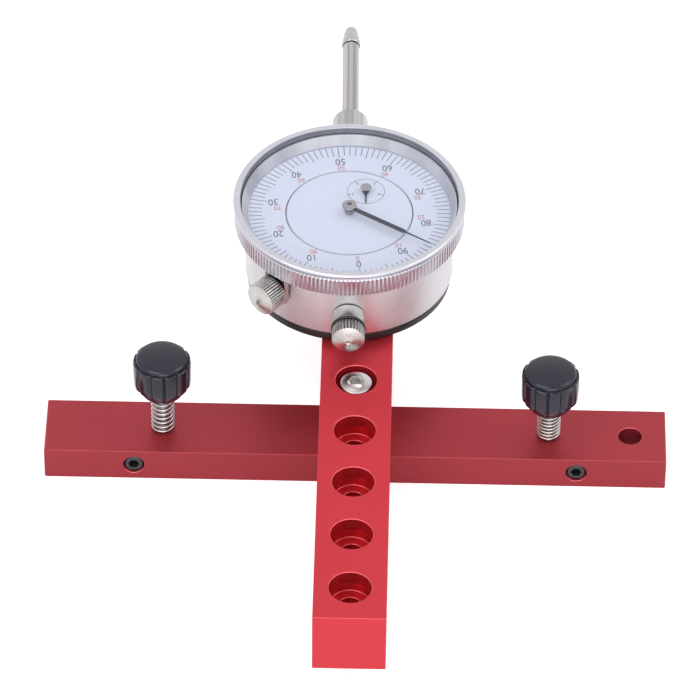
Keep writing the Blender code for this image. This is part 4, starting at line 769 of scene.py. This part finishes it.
# Painted shade in the case's groove, and a little painted reflection streaking round the side.
satin = turned_steel("satin_silver_case", (0.87, 0.86, 0.895), 0.44, 0.68, bumps=0.6, lines=2600.0,
                     groove_shade=(case_radius, 0.0004), reflection_sweep=0.2)
case_cutters = []
spindle_z, clamp_z, clamp_turn = 0.0370, 0.0414, math.radians(41.0)
along_stem = turned_to((0, 0, spindle_z), -math.pi / 2, "X")
along_cap = turned_to((0, 0, spindle_z), math.pi / 2, "X")
along_clamp = turned_to((0, 0, clamp_z), -clamp_turn, "Z") @ Matrix.Rotation(math.pi / 2, 4, "X")
wall_inside, wall_outside, stem_hole, cap_hole, clamp_hole = 0.0240, 0.0282, 0.00506, 0.0039, 0.0013
for radius, matrix in ((stem_hole, along_stem), (cap_hole, along_cap), (clamp_hole, along_clamp)):
    cutter = drill(radius, wall_inside, wall_outside)
    cutter.transform(matrix)
    case_cutters.append(cutter)
counter_distance, counter_bearing = 0.009515, math.radians(63.5)
counter_place = Vector((counter_distance * math.cos(counter_bearing),
                        counter_distance * math.sin(counter_bearing), 0))
case_cutters.append(drill(arbor_hole, web_base - past, case_top + past, counter_place.x, counter_place.y, 24))
pivot_depth = 0.0012
for name, radius in (("rack_arbor", 0.0007), ("hairspring_stud", 0.0008), ("pillar_screw_1", 0.0011),
                     ("pillar_screw_2", 0.0011), ("pillar_screw_3", 0.0011)):
    low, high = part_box(name)
    centre = indicator.inverted() @ ((low + high) / 2)
    case_cutters.append(drill(radius, web_base - past, web_base + pivot_depth, centre.x, centre.y, 16))
milled_piece("case_turned", lathe(outline, 192, loop=True), case_cutters, 0, "arm", satin, indicator,
             ["case"])


# Stem and spindle: a nickel plated three-eighths stem with a brass bush, and the ground rod that
# slides in it. A hardened contact point with a tapered nose is screwed into the rod's end.
stem_radius, stem_bore, stem_root, stem_end = 0.0047625, 0.0039, 0.0250, 0.05005
bush_bore, bush_radius, bush_root, bush_end = 0.00255, 0.0036, 0.04165, 0.04965
# Painted reflection streaks along the stem, and painted shade on its end faces.
nickel = turned_steel("nickel_plate", (0.60, 0.58, 0.60), 0.24, 0.6, bumps=0.3, lines=6000.0, reflection_sweep=0.8,
                      end_face_shade=0.1)
brass = turned_steel("bush_brass", (0.62, 0.46, 0.22), 0.3, 0.85)
outline = eased(sleeve(stem_bore, stem_radius, stem_root, stem_end), 0.0003, loop=True)
turned_piece("stem_turned", outline, 96, "arm", "nickel", nickel, indicator @ along_stem, ["stem"], loop=True)
outline = eased(sleeve(bush_bore, bush_radius, bush_root, bush_end), 0.0002, loop=True)
turned_piece("stem_bush_turned", outline, 64, "arm", "brass", brass, indicator @ along_stem, ["stem_bush"],
             loop=True)

spindle_end, contact_end, spindle_top, spindle_radius = 0.0813, 0.08886, 0.0099, 0.00225
rack_pitch, rack_teeth, rack_start, rack_tip, rack_root = 0.000635, 48, -0.010038, 0.0018655, 0.0016655
# Painted reflection streaks; slice_level 1.3 picks the pattern that gives the rod a painted highlight down its
# middle and painted shade at its sides.
ground = turned_steel("ground_steel", (0.56, 0.525, 0.56), 0.22, 0.5, reflection_sweep=0.9, slice_level=1.3)
contact_steel = turned_steel("contact_steel", (0.60, 0.585, 0.60), 0.30, 0.88)
tooth_side, contact_seat, contact_thread_depth = 0.0035, 0.00155, 0.0038
rod = lathe(eased(sleeve(0, spindle_radius, -spindle_top, spindle_end), 0.0003), 64)
outline = []
for k in range(rack_teeth + 1):
    outline.append((rack_root, rack_start + k * rack_pitch))
    outline.append((rack_tip, rack_start + (k + 0.5) * rack_pitch))
outline += [(spindle_radius + past, outline[-1][1]), (spindle_radius + past, rack_start)]
teeth = prism([[(x, y, z) for x, z in outline] for y in (-tooth_side, tooth_side)])
pin_place, pin_hole, pin_sink = 0.0040, 0.0011, 0.00115
rod_cutters = [teeth, drill(contact_seat, spindle_end - contact_thread_depth, spindle_end + past)]
for axis in ("X", "Y"):
    cutter = drill(pin_hole, -spindle_radius - past, -pin_sink)
    cutter.transform(turned_to((0, 0, pin_place), -math.pi / 2, axis)
                     @ Matrix.Rotation(math.pi if axis == "Y" else 0, 4, "X"))
    rod_cutters.append(cutter)
milled_piece("spindle_ground", rod, rod_cutters, 0, "spindle", ground, indicator @ along_stem,
             ["spindle"])
outline = [(radius, spindle_end + beyond) for radius, beyond in (
    (0, -0.0035), (0.00125, -0.0035), (0.00125, 0.0003), (0.00235, 0.0003), (0.00253, 0.00055),
    (0.00253, 0.0012), (0.00248, 0.0020), (0.00230, 0.0031), (0.00213, 0.0044), (0.00196, 0.0056),
    (0.00178, 0.0066))]
nose_radius, nose_length = 0.00174, 0.0009
for k in range(1, 7):
    a = k * math.pi / 2 / 6
    outline.append((nose_radius * math.cos(a), contact_end - nose_length * (1 - math.sin(a))))
outline[-1] = (0, contact_end)
turned_piece("contact_point_turned", outline, 64, "spindle", "steel", contact_steel, indicator @ along_stem,
             ["contact_point"], 50)


# Upper bush and dust cap: a plated neck saddled to the case's round side, a black sealing ring,
# and a straight-knurled cap with a shallow turned cone at its end.
neck_radius, neck_end, thread_radius, thread_end = 0.0042, 0.0315, 0.0032, 0.0349
neck_root, saddle_radius, saddle_half = 0.0262, case_radius + 0.0003, 0.0084
# Painted reflection streaks, and painted shade on the faces across the axis.
bright = turned_steel("bright_nickel", (0.74, 0.715, 0.70), 0.22, 0.75, bumps=0.2, lines=3000.0, reflection_sweep=0.4,
                      end_face_shade=0.6)
neck_bm = lathe(eased([(bush_bore, neck_root), (neck_radius, neck_root), (neck_radius, neck_end),
                       (thread_radius, neck_end), (thread_radius, thread_end), (bush_bore, thread_end)],
                      0.0002, loop=True), 96, loop=True)
saddle = drill(saddle_radius, -saddle_half, saddle_half, sides=256)
saddle.transform(Matrix.Rotation(-math.pi / 2, 4, "X"))
shank = lathe(sleeve(bush_bore, bush_radius, case_bore, neck_end - 0.0003), 72, loop=True)
milled_piece("upper_bush_turned", neck_bm, [saddle], 0, "arm", bright, indicator @ along_cap,
             ["upper_bush"], [shank])

seal_base, seal_top, seal_radius, seal_bore = 0.03165, 0.03245, 0.0045, 0.0035
nitrile = clouded("nitrile", (0.014, 0.014, 0.014), (0.035, 0.035, 0.036), 1500.0, 3.0, 0.5, 0.2)
outline = eased(sleeve(seal_bore, seal_radius, seal_base, seal_top), 0.00038, 4, loop=True)
turned_piece("cap_seal_moulded", outline, 72, "arm", "rubber", nitrile, indicator @ along_cap, ["cap_seal"], 60,
             loop=True)


def knurl(count, land=0.45):
    """Straight knurling: round-bottomed grooves between flat lands."""
    def relief(turn, height):
        share = (turn * count) % 1.0
        if share < land:
            return 0.0
        return math.sin((share - land) / (1 - land) * math.pi)
    return relief


cap_radius, cap_base, cap_end, cap_cone = 0.00425, 0.0326, 0.0363, 0.00115
cap_flutes, cap_flute_depth = 30, 0.00025
# Painted shade in the knurl's grooves, and painted reflection streaks.
cap_nickel = turned_steel("cap_nickel", (0.59, 0.555, 0.54), 0.28, 0.8, bumps=0.1, lines=5000.0,
                          groove_shade=(cap_radius, cap_flute_depth), reflection_sweep=0.5)
outline = [(seal_bore, cap_base, 0), (cap_radius - 0.0003, cap_base, 0),
           (cap_radius, cap_base + 0.0003, cap_flute_depth), (cap_radius, cap_end - 0.0003, cap_flute_depth)]
outline += [(radius, cap_end + beyond, cut) for radius, beyond, cut in (
    (cap_radius - 0.0001, 0, 0.0001), (cap_radius - 0.0005, 0.00018, 0), (0.0022, 0.00066, 0),
    (0.0009, 0.00108, 0), (0.0007, cap_cone, 0), (0.0005, 0.0010, 0), (0, 0.0008, 0), (0, 0.0004, 0),
    (seal_bore, 0, 0))]
turned_piece("dust_cap_knurled", outline, cap_flutes * 10, "arm", "nickel", cap_nickel, indicator @ along_cap,
             ["dust_cap"], 28, relief=knurl(cap_flutes))


# Bezel clamp: a small plated block under the bezel's edge, with a turned and knurled screw through it.
# The screw's thread goes into the case's wall and draws the block in, and its end is a shallow cone.
shoe_in, shoe_out, shoe_half, shoe_foot, shoe_head = 0.0275, 0.0291, 0.0035, 0.0032, 0.0047
shoe = bmesh.new()
box_body(shoe, (-shoe_half, -shoe_foot, shoe_in), (shoe_half, shoe_head, shoe_out))
shoe_hole, shoe_edge = drill(clamp_hole, shoe_in - past, shoe_out + past), 0.00025
milled_piece("clamp_shoe_milled", shoe, [shoe_hole], shoe_edge, "clamp_shoe", bright,
             indicator @ along_clamp, ["clamp_shoe"])
knob_in, knob_out, clamp_radius, clamp_cone = 0.0294, 0.0347, 0.0044, 0.0015
clamp_flutes, clamp_flute_depth, screw_radius, screw_inner = 38, 0.0003, 0.0010, 0.0232
# Painted shade in the knurl's grooves, and painted reflection streaks.
knob_nickel = turned_steel("knob_nickel", (0.70, 0.67, 0.65), 0.28, 0.8, bumps=0.1, lines=5000.0,
                           groove_shade=(clamp_radius, clamp_flute_depth), reflection_sweep=0.5)
outline = [(0, screw_inner, 0), (screw_radius, screw_inner, 0), (screw_radius, knob_in, 0),
           (clamp_radius - 0.0004, knob_in, 0), (clamp_radius, knob_in + 0.0004, clamp_flute_depth),
           (clamp_radius, knob_out - 0.0003, clamp_flute_depth), (clamp_radius - 0.0001, knob_out, 0.00012),
           (clamp_radius - 0.0005, knob_out + 0.0002, 0), (0.0022, knob_out + 0.00085, 0),
           (0.0005, knob_out + 0.00143, 0), (0, knob_out + clamp_cone, 0)]
turned_piece("clamp_knob_knurled", outline, clamp_flutes * 10, "clamp_knob", "nickel", knob_nickel,
             indicator @ along_clamp, ["clamp_knob"], 28, relief=knurl(clamp_flutes))


# Dial: a fixed disc with the revolution counter, and an outer scale that turns with the bezel.
# Both are printed on pale blue-white lacquer: grey-black figures, and red ones that count backwards.
dial_base, dial_face, inner_edge, outer_bore, outer_edge = 0.0483, 0.0487, 0.0164, 0.0167, 0.0280
ink_rise, digit_share = 0.00002, 0.70


def ink(name, colour):
    """Screen-printed ink, a little uneven where it is thin."""
    thin = tuple(min(1.0, c * 1.5 + 0.01) for c in colour)
    return clouded(name, colour, thin, 2500.0, 2.0, 0.55, 0.1)


def printed_figures(name, entries, body, finish, matrix):
    """Figures that read from the stem's side, as one thin print: text, place, height and width share."""
    bm = bmesh.new()
    for text, x, y, height, width_share in entries:
        curve = bpy.data.curves.new(name, "FONT")
        curve.body = text
        curve.size = height / digit_share
        curve.align_x = "CENTER"
        curve.align_y = "CENTER"
        curve.extrude = ink_rise / 2
        curve.resolution_u = 4
        holder = put_in_scene(name + "_letter", curve)
        bpy.context.view_layer.update()
        mesh = bpy.data.meshes.new_from_object(holder.evaluated_get(bpy.context.evaluated_depsgraph_get()))
        spans = [[vertex.co[axis] for vertex in mesh.vertices] for axis in (0, 1)]
        middle = [-(max(span) + min(span)) / 2 for span in spans]
        mesh.transform(turned_to((x, y, dial_face + ink_rise), math.pi, "Z")
                       @ Matrix.Diagonal((width_share, 1, 1, 1)) @ Matrix.Translation((*middle, 0)))
        bm.from_mesh(mesh)
        bpy.data.objects.remove(holder, do_unlink=True)
        bpy.data.meshes.remove(mesh)
        bpy.data.curves.remove(curve)
    shown_object(name, smooth_mesh(name, bm), body, finish, matrix)


def printed_lines(name, lines, body, finish, matrix):
    """Straight printed marks that run outwards: each has its middle radius, angle, length and width."""
    bm = bmesh.new()
    for radius, angle, length, width in lines:
        mark = box_body(bm, (radius - length / 2, -width / 2, dial_face),
                        (radius + length / 2, width / 2, dial_face + ink_rise))
        bmesh.ops.rotate(bm, verts=mark, matrix=Matrix.Rotation(angle, 3, "Z"))
    shown_object(name, smooth_mesh(name, bm), body, finish, matrix)


def printed_circle(name, radius, width, body, finish, matrix):
    outline = sleeve(radius - width / 2, radius + width / 2, dial_face, dial_face + ink_rise)
    turned_piece(name, outline, 160, body, "dial_white", finish, matrix, loop=True)


pale = clouded("dial_lacquer", (0.76, 0.80, 0.96), (0.78, 0.82, 0.98), 70.0, 2.0, 0.45, 0.1)
black_ink = ink("black_ink", (0.10, 0.10, 0.115))
red_ink = ink("red_ink", (0.46, 0.19, 0.20))
scale_turn = indicator @ Matrix.Rotation(math.radians(7.2), 4, "Z")
inner_disc = lathe(sleeve(arbor_hole, inner_edge, dial_base, dial_face), 144, loop=True)
counter_hole = drill(arbor_hole, dial_base - past, dial_face + past, counter_place.x, counter_place.y, 24)
milled_piece("inner_dial_printed", inner_disc, [counter_hole], 0, "arm", pale, indicator,
             ["inner_dial"])
turned_piece("outer_scale_printed", sleeve(outer_bore, outer_edge, dial_base, dial_face), 160, "bezel",
             "dial_white", pale, scale_turn, ["outer_scale"], loop=True)

tick_end, long_tick, short_tick, tick_width = 0.0262, 0.0042, 0.0034, 0.00019
ticks = []
for k in range(100):
    length = long_tick if k % 5 == 0 else short_tick
    ticks.append((tick_end - length / 2, -math.pi / 2 - k * math.tau / 100, length, tick_width))
printed_lines("scale_marks", ticks, "bezel", black_ink, scale_turn)
figure_circle, figure_height, figure_width = 0.0203, 0.0024, 0.80
back_offset, back_height = 0.00235, 0.00175
figures, backward = [], []
for k in range(10):
    angle = -math.pi / 2 - k * math.tau / 10
    x, y = figure_circle * math.cos(angle), figure_circle * math.sin(angle)
    inward = -1 if y > -0.001 else 1
    figures.append((str(k * 10), x, y, figure_height, figure_width))
    side = 0.0009 * (1 if x < -0.009 else -1 if x > 0.009 else 0)
    text = str((10 - k) % 10 * 10)
    backward.append((text, x + side, y + inward * back_offset, back_height, figure_width))
printed_figures("scale_figures", figures, "bezel", black_ink, scale_turn)
printed_figures("scale_back_figures", backward, "bezel", red_ink, scale_turn)
border_radius, border_line, border_ink = 0.01625, 0.00010, ink("border_ink", (0.42, 0.36, 0.42))
printed_circle("border_line", border_radius, border_line, "arm", border_ink, indicator)

counter_radius, counter_tick, counter_line, counter_tick_width = 0.0049, 0.0008, 0.00012, 0.00022
counter_figure_circle, counter_figure_height, counter_figure_width = 0.0036, 0.00085, 0.85
counter_at = indicator @ Matrix.Translation(counter_place)
printed_circle("counter_line", counter_radius, counter_line, "arm", black_ink, counter_at)
counter_marks, counter_figures = [], []
for k in range(5):
    angle = -math.pi / 2 - k * math.tau / 5
    counter_marks.append((counter_radius - counter_tick / 2, angle, counter_tick, counter_tick_width))
    x, y = counter_figure_circle * math.cos(angle), counter_figure_circle * math.sin(angle)
    counter_figures.append((str(k * 2), x, y, counter_figure_height, counter_figure_width))
printed_lines("counter_marks", counter_marks, "arm", black_ink, counter_at)
printed_figures("counter_figures", counter_figures, "arm", black_ink, counter_at)


# Hands: the long hand is a blackened strip that steps down to a needle, pressed under a polished cap.
# The counter's hand is a short pointer on a black cone, with a silver button on top.
hand_base, hand_level, hand_thick = 0.0490, 0.0506, 0.0002
hand_angle, bar_reach, needle_reach = math.radians(-33.5), 0.0173, 0.0252
bar_half, needle_half, tip_half = 0.00065, 0.00022, 0.00010


def strip(points, low, high):
    """A flat strip from its outline in plan."""
    return prism([[(x, y, z) for x, y in points] for z in (low, high)])


hand_black = clouded("blackened_strip", (0.016, 0.018, 0.024), (0.028, 0.031, 0.038), 700.0, 3.0, 0.34, 0.15,
                     specular=0.3)
hand_turn = indicator @ Matrix.Rotation(hand_angle, 4, "Z")
hand_edge = [(-0.0012, bar_half), (bar_reach - 0.0004, bar_half), (bar_reach, needle_half + 0.0001),
             (bar_reach + 0.0003, needle_half), (needle_reach, tip_half)]
hand_points = [(x, -y) for x, y in hand_edge] + hand_edge[::-1]
hand_mesh = smooth_mesh("long_hand_strip", strip(hand_points, hand_level, hand_level + hand_thick))
shown_object("long_hand_strip", hand_mesh, "centre_arbor", hand_black, hand_turn, ["main_hand"])
# Painted reflection streaks on the hub.
hub_steel = turned_steel("hub_steel", (0.46, 0.44, 0.46), 0.22, 0.8, reflection_sweep=0.5)
boss_radius, boss_neck, boss_top = 0.00125, 0.0006, 0.04985
outline = eased([(0, hand_base), (boss_radius, hand_base), (boss_radius, boss_top), (boss_neck, boss_top),
                 (boss_neck, hand_level), (0, hand_level)], 0.0001)
turned_piece("long_hand_boss", outline, 48, "centre_arbor", "steel", hub_steel, hand_turn)
cap_low, cap_high = hand_level + hand_thick, 0.05175
outline = [(0, cap_low), (0.00185, cap_low), (0.00188, cap_high - 0.0003), (0.0017, cap_high - 0.0001),
           (0.0013, cap_high), (0.0006, cap_high), (0.0005, cap_high - 0.0007), (0, cap_high - 0.0008)]
turned_piece("long_hand_cap", outline, 48, "centre_arbor", "steel", hub_steel, hand_turn)
counter_turn = counter_at @ Matrix.Rotation(-math.pi / 2, 4, "Z")
pointer_edge = [(0.0009, 0.00055), (0.0014, 0.0005), (0.0022, 0.00022), (0.0049, 0.00012)]
pointer = strip([(x, -y) for x, y in pointer_edge] + pointer_edge[::-1], 0.0491, 0.0493)
shown_object("counter_pointer", smooth_mesh("counter_pointer", pointer), "counter_arbor",
             hand_black, counter_turn, ["counter_hand"])
outline = eased([(0, hand_base), (0.0006, hand_base), (0.00125, 0.0500), (0, 0.0500)], 0.0001)
turned_piece("counter_cone", outline, 48, "counter_arbor", "hand_grey", hand_black, counter_turn)
outline = [(0, 0.0500), (0.00135, 0.0500), (0.00145, 0.0501), (0.00143, 0.0503), (0.0012, 0.0504), (0, 0.05035)]
turned_piece("counter_button", outline, 48, "counter_arbor", "steel", hub_steel, counter_turn)


# Bezel: a turned silver rim with straight flutes below and a flat polished top. It turns on the case,
# and carries a conical reflector ring and the clear crystal.
bezel_base, flute_top, bezel_top = 0.0464, 0.0517, 0.0536
flutes, flute_radius, flute_depth = 172, 0.0300, 0.00026
outline = [(0.0275, bezel_base, 0), (0.0296, bezel_base, 0), (0.0299, bezel_base + 0.0002, 0.0001),
           (flute_radius, bezel_base + 0.0005, flute_depth), (flute_radius, flute_top - 0.0006, flute_depth),
           (flute_radius, flute_top - 0.0003, 0.00018), (flute_radius - 0.0002, flute_top, 0.00004),
           (0.0295, flute_top + 0.0001, 0), (0.0295, flute_top + 0.0006, 0), (0.0297, flute_top + 0.00085, 0),
           (0.0301, flute_top + 0.00095, 0), (0.03027, flute_top + 0.0012, 0), (0.03027, bezel_top - 0.0005, 0),
           (0.03018, bezel_top - 0.0003, 0), (0.0300, bezel_top - 0.00014, 0), (0.0297, bezel_top - 0.00004, 0),
           (0.0293, bezel_top, 0), (0.0287, bezel_top - 0.00003, 0), (0.02845, bezel_top - 0.0001, 0),
           (0.0283, bezel_top - 0.0004, 0), (0.0283, case_top, 0), (0.0275, case_top, 0), (0.0275, groove_high, 0),
           (0.0279, groove_high, 0), (0.0279, groove_low, 0), (0.0275, groove_low, 0)]
# Painted shade in the flutes, and painted reflection streaks round the rim.
rim_satin = turned_steel("satin_silver_bezel", (0.72, 0.715, 0.785), 0.28, 0.85, bumps=0.4, lines=7000.0,
                         groove_shade=(flute_radius, 0.0016), reflection_sweep=0.3)
turned_piece("bezel_fluted", outline, flutes * 6, "bezel", "silver", rim_satin, indicator, ["bezel"], 30,
             loop=True, relief=knurl(flutes, 0.35))

reflector_low, reflector_high, crystal_low, crystal_high = 0.0490, 0.0518, 0.0521, 0.0533
reflector_foot, reflector_lip, crystal_radius = 0.0264, 0.0276, 0.0280
outline = [(reflector_foot, reflector_low), (crystal_radius, reflector_low), (crystal_radius, reflector_high),
           (reflector_lip, reflector_high)]
# Painted reflection streaks round the reflector ring.
polished = turned_steel("polished_reflector", (0.75, 0.75, 0.79), 0.56, 0.7, bumps=0.3, lines=12000.0,
                        reflection_sweep=0.7)
turned_piece("reflector_turned", outline, 192, "bezel", "silver", polished, indicator, ["reflector_ring"],
             loop=True)


def clear_plastic(name):
    """Polished clear acrylic, nearly all of it see-through."""
    made, shade = new_finish(name, (0.45, 0.50, 0.60), 0.0, 0.04)
    made.node_tree.nodes["Principled BSDF"].inputs["Alpha"].default_value = 0.06
    cloud = speckle(shade, shade.node("TexCoord", output="Object"), 60.0, 2.0)
    (cloud * 0.04 + 0.02).into("Roughness")
    return made


outline = eased(sleeve(0, crystal_radius, crystal_low, crystal_high), 0.0002)
turned_piece("crystal_moulded", outline, 144, "bezel", "clear", clear_plastic("clear_acrylic"), indicator,
             ["crystal"])


# Movement: brass and steel wheels, bridge, pillars, arbors, springs and screws inside the closed case, with
# the back cover's screws and the bezel's wire. These solids are shown as they are, each in its own metal.
plain_metals = {
    "brass": turned_steel("movement_brass", (0.70, 0.53, 0.25), 0.28, 0.85),
    "steel": turned_steel("movement_steel", (0.58, 0.58, 0.58), 0.26, 0.85),
}
slot_of = {part["node"]: part["material_slot"] for part in frame["record"]["subparts"]}
for name, node in frame["nodes"].items():
    if slot_of[name] in plain_metals and not node.hide_render:
        node.data.materials.clear()
        node.data.materials.append(plain_metals[slot_of[name]])
